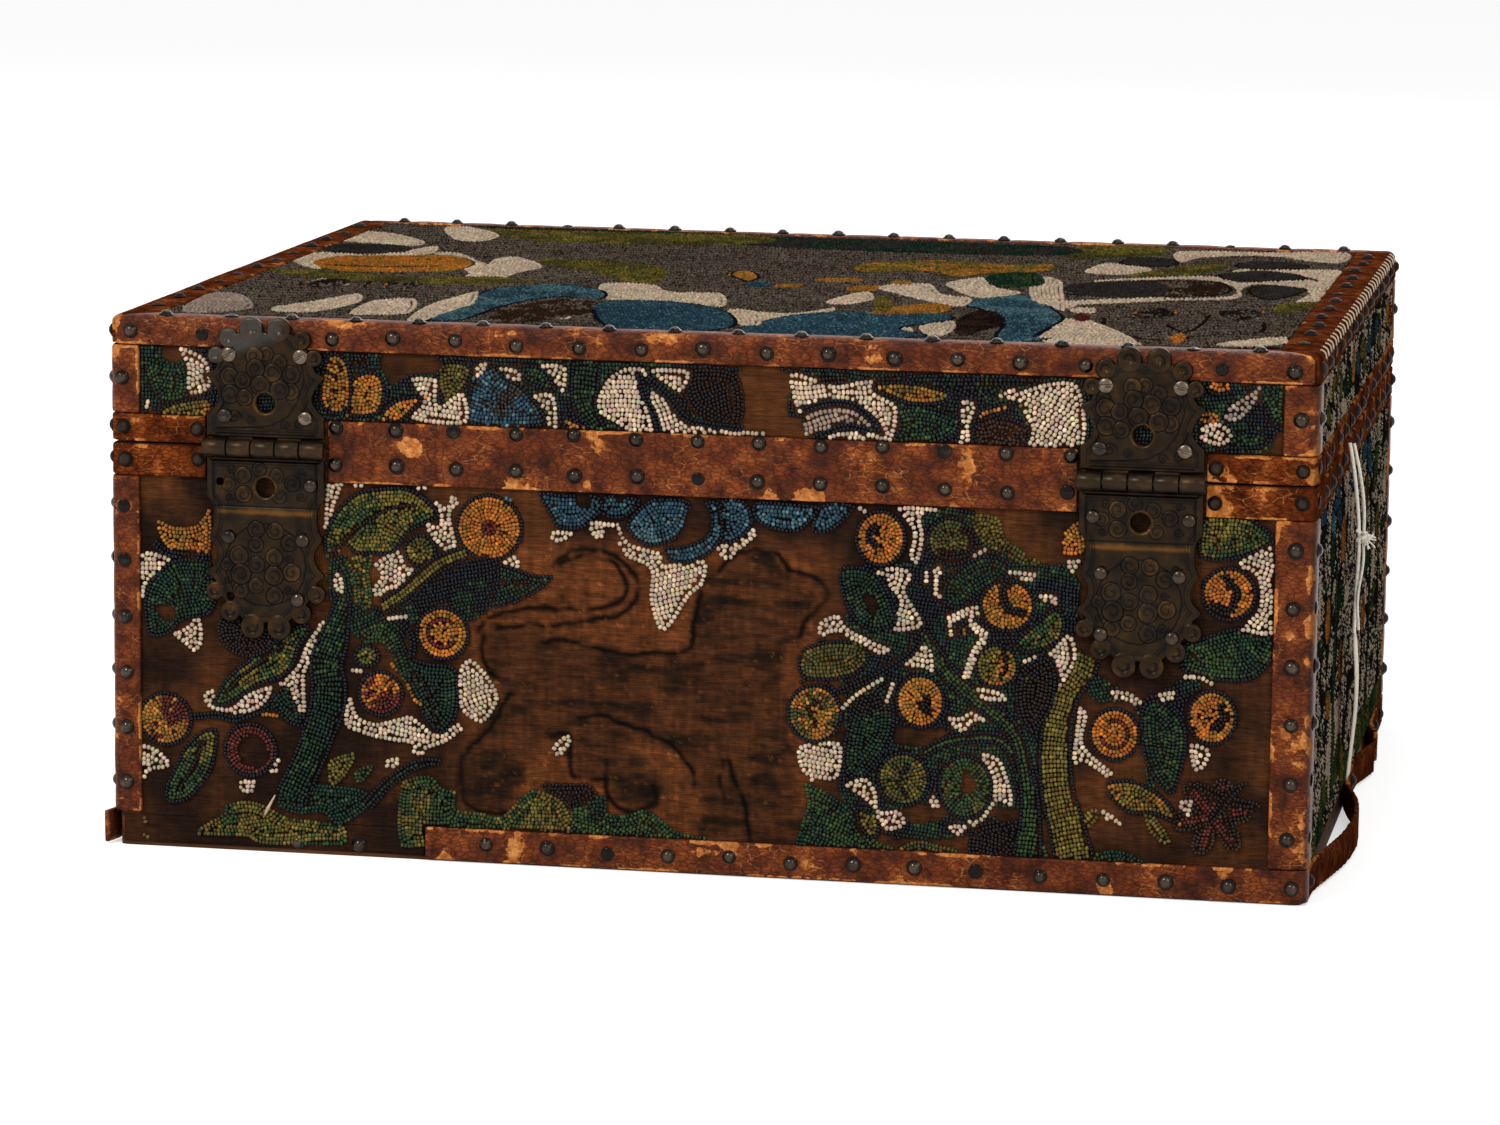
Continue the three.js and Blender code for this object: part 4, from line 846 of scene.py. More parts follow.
def read_motifs(text, plane):
    """Kind, tones, option and points of each motif in a text of crop points.

    Points come out in whole millimetres, and those of fruits and trunks in tenths.
    """
    for line in text.strip().replace("\n  ", " ").splitlines():
        if line[0] == "@":
            crop = line[1]
            continue
        head, _, places = line.partition("|")
        kind, tones, option = (head.split() + ["", ""])[:3]
        read = [[float(n) for n in place.split(",")] for place in places.split()]
        if kind == "fruit":
            (x, y), (wide, tall) = read
            middle = read_off(crop, plane, x, y)
            read = [middle, (read_off(crop, plane, x + wide, y)[0] - middle[0],
                             read_off(crop, plane, x, y - tall)[1] - middle[1])]
        elif kind == "trunk":
            read = [(*read_off(crop, plane, x, y),
                     read_off(crop, plane, x + wide, y)[0] - read_off(crop, plane, x, y)[0])
                    for x, y, wide in read]
        else:
            read = [read_off(crop, plane, x, y) for x, y in read]
        digits = 1 if kind in ("fruit", "trunk") else 0
        yield kind, tones, option, np.round(read, digits) + 0.0


# The string and its blank tag
STRING_THICK = 1.4
KNOT = np.array([215.9, -53.6, 109.0])
STRING_ROUTE = [(211.2, -56.5, 143), (212, -56.3, 139), (213.4, -55.5, 130), (214.8, -54, 116),
                (215.2, -53, 104), (214.6, -52, 90), (214.2, -51, 74)]


def strand(name, points, radius, material):
    """A thin round thread as a curve object. Points are in millimetres."""
    curve = bpy.data.curves.new(name, "CURVE")
    curve.dimensions = "3D"
    spline = curve.splines.new("POLY")
    spline.points.add(len(points) - 1)
    for point, co in zip(spline.points, points):
        point.co = (*(co * MM), 1)
    curve.bevel_depth, curve.bevel_resolution = radius * MM, 3
    curve.use_fill_caps = True
    curve.materials.append(material)
    return link(bpy.data.objects.new(name, curve))


def tube_mesh(points, radius, sides=6):
    """Vertices and triangles of a closed tube along a line. radius may be one per point."""
    p = np.asarray(points, float)
    r = np.broadcast_to(radius, (len(p),))
    t = np.gradient(p, axis=0)
    t /= np.linalg.norm(t, axis=1)[:, None]
    ref = np.array([0.0, 0.0, 1.0]) if abs(t[0, 2]) < 0.9 else np.array([1.0, 0.0, 0.0])
    side = np.empty_like(p)
    last = np.cross(ref, t[0])
    for i in range(len(p)):
        last = last - t[i] * (last @ t[i])
        last /= np.linalg.norm(last)
        side[i] = last
    up = np.cross(t, side)
    a = np.arange(sides) * 2 * math.pi / sides
    ring = (p[:, None] + r[:, None, None] * (np.cos(a)[None, :, None] * side[:, None]
                                             + np.sin(a)[None, :, None] * up[:, None]))
    verts = np.concatenate([ring.reshape(-1, 3), p[:1], p[-1:]])
    tris, n = [], len(p)
    for j in range(sides):
        k = (j + 1) % sides
        i = np.arange(n - 1)
        tris.append(np.stack([i * sides + j, i * sides + k, (i + 1) * sides + k], 1))
        tris.append(np.stack([i * sides + j, (i + 1) * sides + k, (i + 1) * sides + j], 1))
        tris.append(np.array([[n * sides, k, j],
                              [n * sides + 1, (n - 1) * sides + j, (n - 1) * sides + k]]))
    return verts, np.concatenate(tris)


def joined_piece(name, parts, material):
    """One mesh object of several (points, faces) in millimetres."""
    verts, faces, base = [], [], 0
    for v, f in parts:
        verts.append(np.asarray(v, float))
        faces.append(np.asarray(f) + base)
        base += len(v)
    return mesh_piece(name, np.concatenate(verts) * MM, np.concatenate(faces), material)


def make_string():
    """The string with its knot, second strand and frayed ends, and its tag."""
    route = smooth_line(STRING_ROUTE, 1.5)
    string = strand("string", route, STRING_THICK / 2, STRING)
    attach(string, "case")
    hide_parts("tag_string")
    # the knot, its frayed ends and the second leg of the loop
    rng = np.random.default_rng(3)
    parts = []
    a = np.linspace(0, 2 * math.pi * 1.6, 40)
    for tilt in (0.5, -0.7):
        parts.append(tube_mesh(KNOT + np.stack([1.5 * np.cos(a), 1.3 * np.sin(a) + tilt * np.cos(a),
                                                5.2 * (a / a[-1] - 0.5)], 1), 0.62))
    for _ in range(16):
        out = np.array([rng.uniform(1.0, 5.5), rng.uniform(-2, 9), rng.uniform(-5.5, 1.5)])
        bend = np.array([0.6, rng.uniform(-1, 1), rng.uniform(-1, 1.8)])
        t = np.linspace(0, 1, 8)[:, None]
        parts.append(tube_mesh(KNOT + out * t + bend * np.sin(t * math.pi), 0.3, 5))
    t = np.linspace(0, 1, 30)
    leg = np.stack([212.6 + 4.3 * np.sin(t * math.pi * 0.6), -54.4 + 1.6 * t - 0.5 * np.sin(t * 3),
                    142.6 - 33.6 * t], 1)
    parts.append(tube_mesh(leg, 0.6))
    leg = np.stack([216.6 - 1.2 * t + 0.6 * np.sin(t * 7),
                    -53.4 + 2.6 * t - 0.8 * np.sin(t * math.pi), 108.6 - 33.4 * t], 1)
    parts.append(tube_mesh(leg, 0.55))
    ends = joined_piece("string_knot_and_ends", parts, STRING)
    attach(ends, "case")
    tag = make_tag()


# The tag hangs along -Z from its tied end
TAG_TOP, TAG_BOTTOM, TAG_LONG, TAG_WIDE, TAG_THICK = 73.7, 21.7, 52, 12, 0.6
TAG_X, TAG_Y = 214.2, -51


def make_tag():
    """A blank card tag, a little bowed, with clipped corners at its tied end."""
    rows, cols = 27, 7
    z = np.linspace(TAG_TOP, TAG_BOTTOM, rows)
    half = TAG_WIDE / 2 * np.clip(0.45 + (TAG_TOP - z) / 8, 0, 1)
    y = np.linspace(-1, 1, cols)
    bow = 1.2 * np.sin((TAG_TOP - z) / TAG_LONG * math.pi * 1.3)
    grid = []
    for face in (TAG_THICK / 2, -TAG_THICK / 2):
        x = TAG_X + bow[:, None] + face + 0.25 * (y[None, :] ** 2)
        grid.append(np.stack([x, TAG_Y + half[:, None] * y[None, :], z[:, None] + 0 * y], 2))
    verts = np.concatenate([g.reshape(-1, 3) for g in grid])
    tag = mesh_piece("tag", verts * MM, closed_grid(rows, cols), CARD, smooth=False)
    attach(tag, "case")
    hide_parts("tag_card")
    return tag


def closed_grid(rows, cols):
    """Quads of a slab: an outer grid of rows x cols points, an inner one after it, the rims."""
    i, j = np.meshgrid(np.arange(rows - 1), np.arange(cols - 1), indexing="ij")
    a = (i * cols + j).ravel()
    outer = np.stack([a, a + cols, a + cols + 1, a + 1], 1)
    n = rows * cols
    inner = outer[:, ::-1] + n
    top = np.arange(cols - 1)
    left = np.arange(rows - 1) * cols
    rims = [np.stack([top, top + 1, top + 1 + n, top + n], 1),
            np.stack([top + 1, top, top + n, top + 1 + n], 1) + (rows - 1) * cols,
            np.stack([left + cols, left, left + n, left + cols + n], 1),
            np.stack([left, left + cols, left + cols + n, left + n], 1) + cols - 1]
    return np.concatenate([outer, inner, *rims])


make_string()


# Where the tacks are
def row(start, end, pitch):
    """Even places from start to end, about a pitch apart."""
    steps = max(1, int(math.floor((end - start) / pitch + 0.5)))
    return [start + (end - start) * i / steps for i in range(steps + 1)]


FACES = {"rear": (0, -1), "front": (0, 1), "left": (-1, 0), "right": (1, 0)}


def on(face, along, z):
    """Tack places on a face of the box: (point on the leather, outward normal)."""
    x, y = FACES[face]
    return [((x * SKIN_X if x else a, y * SKIN_Y if y else a, z), (x, y, 0)) for a in along]


def on_top(xs, ys):
    return [((x, y, SKIN_TOP), (0, 0, 1)) for x in xs for y in ys]


END_PITCH, LONG_PITCH = 25, 22
TOP_TACK_X, TOP_TACK_Y, TOP_TACK_Z = 201, 162.6, 182.3
LID_RIM_Z, CASE_RIM_Z, BASE_Z = 148.55, 137.4, 6.4
FRONT_ROW, END_ROW = row(-204.4, 204.4, LONG_PITCH), row(-162.4, 162.4, END_PITCH)
STUB_ROW = [-204.4, -178.2, 175.5, 204.4]
BAND_ROW = row(-128.8, 126.1, LONG_PITCH)
TOP_LONG = row(-189.4, 189.4, LONG_PITCH)
REAR_TOP = [-202.16, -176.4, *row(-130.18, 130.87, LONG_PITCH), 177.09, 201.04]


def rim_places(z):
    """The tacks of a rim strip, which leaves out the hinges and the band."""
    return (on("rear", STUB_ROW, z) + on("front", FRONT_ROW, z) + on("left", END_ROW, z)
            + on("right", END_ROW, z))


def corner_places(side_x, side_y, width_x, heights):
    """The tacks of a corner strip: one on each of its two faces at each height."""
    x, y = side_x * (SKIN_X - width_x / 2), side_y * (SKIN_Y - 6)
    face_y, face_x = ("rear" if side_y < 0 else "front"), ("left" if side_x < 0 else "right")
    return [p for z in heights for p in on(face_y, [x], z) + on(face_x, [y], z)]


CASE_HEIGHTS, LID_HEIGHTS = row(22.7, 121.3, 21), [165.5]
# For each corner: its sides in X and Y, and its strip's width on the case and on the lid
CORNERS = {"rear_left": (-1, -1, 10.8, 11.2), "rear_right": (1, -1, 14.1, 12.4),
           "front_left": (-1, 1, 12, 12), "front_right": (1, 1, 12, 12)}
TACKS = {
    "lid_top_leather_rear": on("rear", REAR_TOP, TOP_TACK_Z) + on_top(TOP_LONG, [-TOP_TACK_Y]),
    "lid_top_leather_front": on("front", FRONT_ROW, TOP_TACK_Z) + on_top(TOP_LONG, [TOP_TACK_Y]),
    "lid_top_leather_left": on("left", END_ROW, TOP_TACK_Z) + on_top([-TOP_TACK_X], END_ROW[1:-1]),
    "lid_top_leather_right": on("right", END_ROW, TOP_TACK_Z) + on_top([TOP_TACK_X], END_ROW[1:-1]),
    "lid_rim_leather": rim_places(LID_RIM_Z),
    "case_rim_leather": rim_places(CASE_RIM_Z),
    "base_leather_front": on("front", FRONT_ROW, BASE_Z),
    "base_leather_rear": on("rear", row(-75, 204.4, LONG_PITCH), BASE_Z),
    "base_leather_left": on("left", row(-137.78, 154.38, END_PITCH), BASE_Z),
    "base_leather_right": on("right", [-155.2, 16.6], BASE_Z),
    "base_leather_right_far": on("right", [126.16, 149.4], BASE_Z),
}
for corner, (sx, sy, case_width, lid_width) in CORNERS.items():
    TACKS["case_corner_leather_" + corner] = corner_places(sx, sy, case_width, CASE_HEIGHTS)
    TACKS["lid_corner_leather_" + corner] = corner_places(sx, sy, lid_width, LID_HEIGHTS)
BAND_TACKS = {"lid": on("rear", BAND_ROW, 151.124), "case": on("rear", BAND_ROW, 138.233)}
TACKS["hinge_band"] = BAND_TACKS["lid"] + BAND_TACKS["case"]


# Tack heads
def lathe(profile, sides):
    """A closed turned shape about +Z. profile is (radius, height) from the rim to the crown."""
    a = np.arange(sides) * 2 * math.pi / sides
    ring = [(r * np.cos(a), r * np.sin(a), np.full(sides, h)) for r, h in profile]
    verts = np.concatenate([np.stack(r, 1) for r in ring]
                           + [np.array([[0, 0, profile[-1][1]], [0, 0, profile[0][1]]])])
    faces, n = [], len(profile)
    for i in range(n - 1):
        for j in range(sides):
            k = (j + 1) % sides
            b, c = i * sides, (i + 1) * sides
            faces += [(b + j, b + k, c + k), (b + j, c + k, c + j)]
    crown, foot = n * sides, n * sides + 1
    for j in range(sides):
        k = (j + 1) % sides
        faces += [(crown, (n - 1) * sides + j, (n - 1) * sides + k), (foot, k, j)]
    return verts, np.array(faces)


def placed(shape, centre, normal, turn=0.0, grow=1.0):
    """A shape moved to a centre, with its Z along the normal."""
    verts, faces = shape
    n = Vector(normal).normalized()
    spin = n.to_track_quat("Z", "Y").to_matrix() @ Matrix.Rotation(turn, 3, "Z")
    return verts * grow @ np.array(spin).T + np.asarray(centre, float), faces


HEAD = lathe([(2.25, -0.5), (2.62, 0.0), (2.62, 0.2), (2.42, 0.42), (2.05, 0.6), (1.75, 1.02),
              (1.25, 1.4), (0.65, 1.62)], 18)
WORN_HEAD = lathe([(2.1, -0.5), (2.4, 0.0), (2.4, 0.12), (2.0, 0.34), (1.5, 0.36), (1.1, 0.6),
                   (0.5, 0.72)], 16)


def tack_heads(name, places, body, seed, metal=TACK):
    """Domed heads, a few of them worn, each a little out of true."""
    rng = np.random.default_rng(seed)
    parts, tints = [], []
    for centre, normal in places:
        n = np.array(normal, float)
        slant = n + rng.normal(0, 0.05, 3)
        at = np.array(centre) + rng.normal(0, 0.35, 3) * (1 - np.abs(n)) - 0.15 * n
        shape = WORN_HEAD if rng.random() < 0.16 else HEAD
        parts.append(placed(shape, at, slant, rng.uniform(0, 6.28), rng.uniform(0.9, 1.06)))
        # Each head takes a random tone and a painted highlight: lighter towards the crown, darker at
        # the foot.
        tints.append(rng.uniform(-0.2, 0.2) + 0.75 * ramp(shape[0][:, 2], 0.5, 1.6) - 0.15)
    heads = joined_piece(name, parts, metal)
    put_values(heads, "tint", np.concatenate(tints))
    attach(heads, body)
    return heads


# Leather
def vectors(items, name):
    """A three-number property of all items, one row for each."""
    values = np.empty(len(items) * 3, np.float32)
    items.foreach_get(name, values)
    return values.reshape(-1, 3).astype(float)


def neighbour_sum(edges, values):
    """For each vertex, the sum of its neighbours' values."""
    total = np.zeros_like(values)
    for a, b in ((0, 1), (1, 0)):
        np.add.at(total, edges[:, a], values[edges[:, b]])
    return total


def convexity(mesh, co, no):
    """How far each vertex stands out from its neighbours, positive on a convex edge."""
    edges = np.empty(len(mesh.edges) * 2, np.int32)
    mesh.edges.foreach_get("vertices", edges)
    edges = edges.reshape(-1, 2)
    count = neighbour_sum(edges, np.ones(len(co)))
    value = ((co - neighbour_sum(edges, co) / count[:, None]) * no).sum(1)
    for _ in range(3):
        value = 0.5 * value + 0.5 * neighbour_sum(edges, value) / count
    return value


VOXEL = 0.75 * MM
# The dent round a tack: its depth and width, how far it reaches, and the flat seat of the head
DENT, DENT_WIDE, DENT_REACH, SEAT = 0.45, 3.2, 7, 3.4
# Strips that are seen at a slant, where any gloss would look like haze. On them, skin that faces
# up is darkened as painted shade, and the tacks take a darker copy of the tack metal as painted
# shade.
DULL = ("lid_top_leather_right", "lid_top_leather_left", "lid_rim_leather", "case_rim_leather",
        "base_leather_right", "base_leather_right_far")


def soft_leather(node, body, worn=0.0):
    """A supple copy of a CAD strip: rounded edges, dents round the tacks, uneven skin."""
    source = bpy.data.objects.new("source", NODES[node].data.copy())
    link(source)
    remesh = source.modifiers.new("remesh", "REMESH")
    remesh.mode, remesh.voxel_size = "VOXEL", VOXEL
    ease = source.modifiers.new("ease", "SMOOTH")
    ease.factor, ease.iterations = 0.6, 5
    graph = bpy.context.evaluated_depsgraph_get()
    mesh = bpy.data.meshes.new_from_object(source.evaluated_get(graph))
    bpy.data.objects.remove(source)
    co, no = vectors(mesh.vertices, "co"), vectors(mesh.vertex_normals, "vector")
    edge = convexity(mesh, co, no)
    mm = co / MM
    dark = np.zeros(len(mm))
    for centre, normal in TACKS[node]:
        n = np.array(normal, float)
        d = mm - np.array(centre)
        high = d @ n
        wide = np.sqrt(np.maximum((d ** 2).sum(1) - high ** 2, 0))
        near = (wide < DENT_REACH) & (high > -1.2)
        dip = -DENT * np.exp(-(wide / DENT_WIDE) ** 2)
        lift = np.where(near & (wide < SEAT), np.minimum(high, 0) - high, 0)
        mm += n * (lift + np.where(near, dip, 0))[:, None]
        dark = np.maximum(dark, np.where(near, np.exp(-(wide / 3.6) ** 2), 0))
    wave = 0.22 * noise(mm, 26, 2) + 0.1 * noise(mm, 5, 2)
    mm += no * wave[:, None]
    mesh.vertices.foreach_set("co", (mm * MM).astype(np.float32).ravel())
    mesh.update()
    mesh.shade_smooth()
    mesh.materials.clear()
    mesh.materials.append(DULL_LEATHER if node in DULL else LEATHER)
    strip = link(bpy.data.objects.new(node + "_skin", mesh))
    patch = noise(mm, 11, 3)
    wear = ramp(edge / MM, 0.004, 0.04) * (0.34 + 1.0 * patch)
    wear += 0.7 * ramp(noise(mm, 13, 2), 0.3, 0.62) + worn
    put_values(strip, "wear", np.clip(wear, -1, 1.3))
    # Painted shade: skin that faces right is darkened, and on the dull strips skin that faces up
    # too. The same mask also darkens the skin round each tack.
    slant = 1.1 * ramp(no[:, 0], 0.3, 0.8)
    if node in DULL:
        slant = np.maximum(slant, 0.75 * ramp(no[:, 2], 0.3, 0.8))
    put_values(strip, "dark", np.maximum(dark, slant))
    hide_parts(node)
    if node == "hinge_band":
        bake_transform(strip)
    else:
        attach(strip, body)
    return strip


BODIES = frame["record"]["behaviour"]["bodies"]
CASE_LEATHER, LID_LEATHER = ([n for n in BODIES[body] if "leather" in n]
                             for body in ("case", "lid"))
# How much more worn than the rest a strip is
WORN = {"base_leather_rear": 0.06, "case_corner_leather_rear_right": 0.24,
        "case_corner_leather_rear_left": 0.04, "lid_top_leather_right": -0.4,
        "case_rim_leather": 0.06, "lid_top_leather_rear": 0.1,
        "lid_rim_leather": 0.12, "base_leather_right": -0.1}
for seed, node in enumerate(CASE_LEATHER + LID_LEATHER):
    owner = "case" if node in CASE_LEATHER else "lid"
    soft_leather(node, owner, WORN.get(node, 0.0))
    tack_heads(node.replace("leather", "tacks"), TACKS[node], owner, seed,
               SHADED_DULL_TACK if node in DULL else TACK)
soft_leather("hinge_band", "case")
tack_heads("band_tacks_lid", BAND_TACKS["lid"], "lid", 90)
tack_heads("band_tacks_case", BAND_TACKS["case"], "case", 91)


def stitches():
    """Pale thread that shows along the outer edge of the top's right strip."""
    rng = np.random.default_rng(21)
    parts = []
    for y in np.arange(-154, 158, 9.6):
        start = np.array([SKIN_X - 1.9, y + rng.uniform(-1, 1), SKIN_TOP - 0.05])
        end = start + (2.1, rng.uniform(-0.5, 1), -3.2)
        t = np.linspace(0, 1, 6)[:, None]
        bow = np.array([0.6, 0, 0.6]) * np.sin(t * math.pi)
        parts.append(tube_mesh(start + (end - start) * t + bow, 0.3, 5))
    thread = joined_piece("edge_stitches", parts, THREAD)
    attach(thread, "lid")


stitches()


# Bead panels
# The beads' tones, by the letters that the motifs use, and the tone that a stray bead has instead
TONES = {"w": (194, 172, 146), "n": (16, 19, 26), "k": (28, 19, 16), "d": (20, 39, 30),
         "g": (45, 62, 33), "y": (97, 85, 36), "v": (70, 63, 29), "o": (162, 94, 34),
         "a": (138, 94, 38), "m": (80, 32, 26), "b": (38, 63, 75), "l": (68, 95, 101),
         "r": (88, 77, 66), "c": (44, 40, 37), "e": (46, 30, 22), "p": (146, 128, 114)}
STRAY = {"d": "g", "g": "d", "y": "v", "v": "g", "o": "a", "a": "o", "m": "e", "b": "l", "l": "b",
         "r": "e", "k": "n"}
# The grid that keeps beads apart: its cell and its margin in cells. Then the room that a bead
# takes, the distance of its rows, and a trunk's ribs; and the same for pale beads, which are bigger
STEP, PAD = 0.25, 8
ROOM, PITCH, RIB = 1.2, 1.33, 1.42
PALE_ROOM, PALE_PITCH = 1.5, 1.62
# How thick the linen is, how far a shape's beads stand up inside it, how many beads are strays, and
# how many cells round a bead its room can take
LINEN_TALL, RISE, STRAY_SHARE, NEAR = 0.35, 0.34, 0.14, 7
reach = np.arange(-NEAR, NEAR + 1) * STEP
spread = reach[:, None] ** 2 + reach[None, :] ** 2
DISC, PALE_DISC = spread < ROOM ** 2, spread < PALE_ROOM ** 2


def in_space(side, u, v, h):
    """Points of a side of the box: u along it, v up it, h out from its board."""
    u, v, h = np.broadcast_arrays(*(np.asarray(a, float) for a in (u, v, h)))
    if side == "rear":
        return np.stack([u, -HALF_Y - h, v], -1)
    if side == "front":
        return np.stack([-u, HALF_Y + h, v], -1)
    if side == "left":
        return np.stack([-HALF_X - h, -u, v], -1)
    if side == "right":
        return np.stack([HALF_X + h, u, v], -1)
    return np.stack([u, v, LID_TOP + h], -1)


def directions(line):
    """Unit vectors along a line and to its left, at each of its points."""
    ahead = np.gradient(line, axis=0)
    ahead /= np.linalg.norm(ahead, axis=1)[:, None] + 1e-9
    return ahead, np.stack([-ahead[:, 1], ahead[:, 0]], 1)


def rings(outline, count, pitch):
    """Lines that follow an outline inwards, a bead apart."""
    along = np.roll(outline, -1, 0) - np.roll(outline, 1, 0)
    along /= np.linalg.norm(along, axis=1)[:, None] + 1e-9
    after = np.roll(outline, -1, 0)
    turn = np.sign((outline[:, 0] * after[:, 1] - after[:, 0] * outline[:, 1]).sum())
    inward = np.stack([-along[:, 1], along[:, 0]], 1) * turn
    near = outline[::2]
    for k in range(count):
        d = pitch / 2 + pitch * k
        q = outline + inward * d
        gap = np.sqrt(((q[:, None] - near[None]) ** 2).sum(2).min(1))
        q = q[gap > d - 0.15]
        if not len(q):
            return
        yield q


def inside_map(outline):
    """Which cells lie inside an outline, and the corner that the cells count from."""
    outline = outline[::3]
    low = outline.min(0) - STEP
    flips = np.zeros(np.ceil((outline.max(0) - low) / STEP).astype(int) + 2, int)
    cells = (outline - low) / STEP
    for (x0, y0), (x1, y1) in zip(cells, np.roll(cells, -1, 0)):
        if y0 > y1:
            x0, y0, x1, y1 = x1, y1, x0, y0
        rows = np.arange(math.ceil(y0), math.ceil(y1))
        if len(rows):
            x = x0 + (rows - y0) * (x1 - x0) / (y1 - y0)
            np.add.at(flips, (np.ceil(x).astype(int), rows), 1)
    return np.cumsum(flips, 0) % 2 == 1, low


class Panel:
    """Beads laid on one side of the box, in rows, lines and rings that keep clear of each other."""

    def __init__(self, side, u0, u1, v0, v1, seed):
        self.side, self.u0, self.u1, self.v0, self.v1 = side, u0, u1, v0, v1
        self.rng = np.random.default_rng(seed)
        size = (int((u1 - u0) / STEP) + 2 * PAD, int((v1 - v0) / STEP) + 2 * PAD)
        self.taken = np.ones(size, bool)
        edge = PAD + int(0.7 / STEP)
        self.taken[edge:-edge, edge:-edge] = False
        self.beads, self.grain, self.mixed = [], 7.0, 0.22

    def cells(self, points):
        i = ((points - (self.u0, self.v0)) / STEP + PAD).astype(int)
        good = ((i >= NEAR) & (i < np.array(self.taken.shape) - NEAR)).all(1)
        return i, good

    def lay(self, points, tones, rise=0.0):
        """Beads side by side along a line of close points, wherever there is room."""
        points = np.asarray(points, float)
        if len(points) < 2:
            return
        slope = np.gradient(points, axis=0)
        heading = np.arctan2(slope[:, 1], slope[:, 0])
        i, good = self.cells(points)
        good[good] = ~self.taken[i[good, 0], i[good, 1]]
        if not good.any():
            return
        disc = PALE_DISC if tones in ("w", "p") else DISC
        if len(tones) > 1:
            level = np.full(len(points), 9.0)
            patch = noise(np.column_stack([points, level]), self.grain) * 0.9 + 0.5
        for k in np.nonzero(good)[0]:
            a, b = i[k]
            if not self.taken[a, b]:
                self.taken[a - NEAR:a + NEAR + 1, b - NEAR:b + NEAR + 1] |= disc
                tone = tones[0]
                if len(tones) > 1:
                    pick = patch[k] + self.rng.normal(0, self.mixed)
                    tone = tones[int(min(max(pick, 0), 0.999) * len(tones))]
                if self.rng.random() < STRAY_SHARE:
                    tone = STRAY.get(tone, tone)
                self.beads.append((*points[k], heading[k], tone, rise))

    def keep_bare(self, outline):
        mask, low = inside_map(outline)
        i, j = np.nonzero(mask)
        at, good = self.cells(low + np.stack([i, j], 1) * STEP)
        self.taken[at[good, 0], at[good, 1]] = True

    def rows(self, outline, tones, angle=0.0, rise=0.0, pitch=0.0, stripes=""):
        mask, low = inside_map(outline)
        middle, half = (outline.min(0) + outline.max(0)) / 2, np.ptp(outline, axis=0).max() * 0.75
        ahead = np.array([math.cos(angle), math.sin(angle)])
        aside = np.array([-ahead[1], ahead[0]])
        t = np.arange(-half, half, 0.2)
        phase = self.rng.uniform(0, 6.28)
        pitch = pitch or (PALE_PITCH if tones in ("w", "p") else PITCH)
        for k, s in enumerate(np.arange(-half, half, pitch)):
            wave = 0.7 * np.sin(t / 9 + phase) + 0.4 * np.sin(t / 4.3 + 2 * phase)
            p = middle + t[:, None] * ahead + (s + wave)[:, None] * aside
            i = np.round((p - low) / STEP).astype(int)
            good = ((i >= 0) & (i < mask.shape)).all(1)
            good[good] = mask[i[good, 0], i[good, 1]]
            self.lay(p[good], stripes[k % len(stripes)] if stripes else tones, rise)
        # odd beads in the holes that are left
        p = low + np.argwhere(mask) * STEP
        i, good = self.cells(p)
        good[good] = ~self.taken[i[good, 0], i[good, 1]]
        self.lay(self.rng.permutation(p[good]), tones, rise)

    def shape(self, outline, tones, count=9, swell=RISE, drawn=True):
        """Rings from the outside in, and rows over what is left. drawn: the first is an outline."""
        pitch = PALE_PITCH if tones in ("w", "p") else PITCH
        fill = tones[1:] if drawn and len(tones) > 1 else tones
        for k, line in enumerate(rings(outline, count, pitch)):
            self.lay(line, tones[0] if drawn and k == 0 else fill, swell * min(1, 0.3 + 0.35 * k))
        self.rows(outline, fill, self.rng.uniform(-0.5, 0.5), swell)

    def fruit(self, cx, cy, rx, ry, tones, style=""):
        big = max(rx, ry)
        a = np.arange(0, 2 * math.pi, 0.2 / big)
        fill = tones[1:]

        def circle(out, arc=a):
            return np.stack([cx + out * rx * np.cos(arc), cy + out * ry * np.sin(arc)], 1)

        self.lay(circle(1 - PITCH / 2 / big, a + self.rng.uniform(0, 6.28)), tones[0],
                 0.3 * RISE)
        if style in ("C", "D"):
            start = 0.9 if style == "C" else 3.6
            self.lay(circle(0.5, a[a < 4.9] + start), "m", RISE)
        k = 1
        while big - PITCH * (k + 0.5) > 0.5:
            self.lay(circle(1 - PITCH * (k + 0.5) / big, a + self.rng.uniform(0, 6.28)),
                     "m" if style == "m" and big - PITCH * (k + 0.5) < 3.4 else fill,
                     RISE * min(1, 0.35 + 0.3 * k))
            k += 1
        self.lay(circle(0.02), fill, RISE)

    def trunk(self, spine, tones):
        spine = np.asarray(spine, float)
        line = smooth_line(spine, 0.2)
        ahead, aside = directions(line[:, :2])
        half = line[:, 2:] / 2
        for sign in (1, -1):
            self.lay(line[:, :2] + sign * aside * (half - 0.7), tones[0], 0.3 * RISE)
        gone = 0.0
        for k in range(1, len(line)):
            gone += np.linalg.norm(line[k, :2] - line[k - 1, :2])
            if gone > RIB:
                gone = 0.0
                s = np.arange(-half[k, 0], half[k, 0], 0.2)
                sag = -0.5 * ahead[k] * (1 - (s[:, None] / half[k, 0]) ** 2)
                self.lay(line[k, :2] + s[:, None] * aside[k] + sag, tones[1:], RISE)

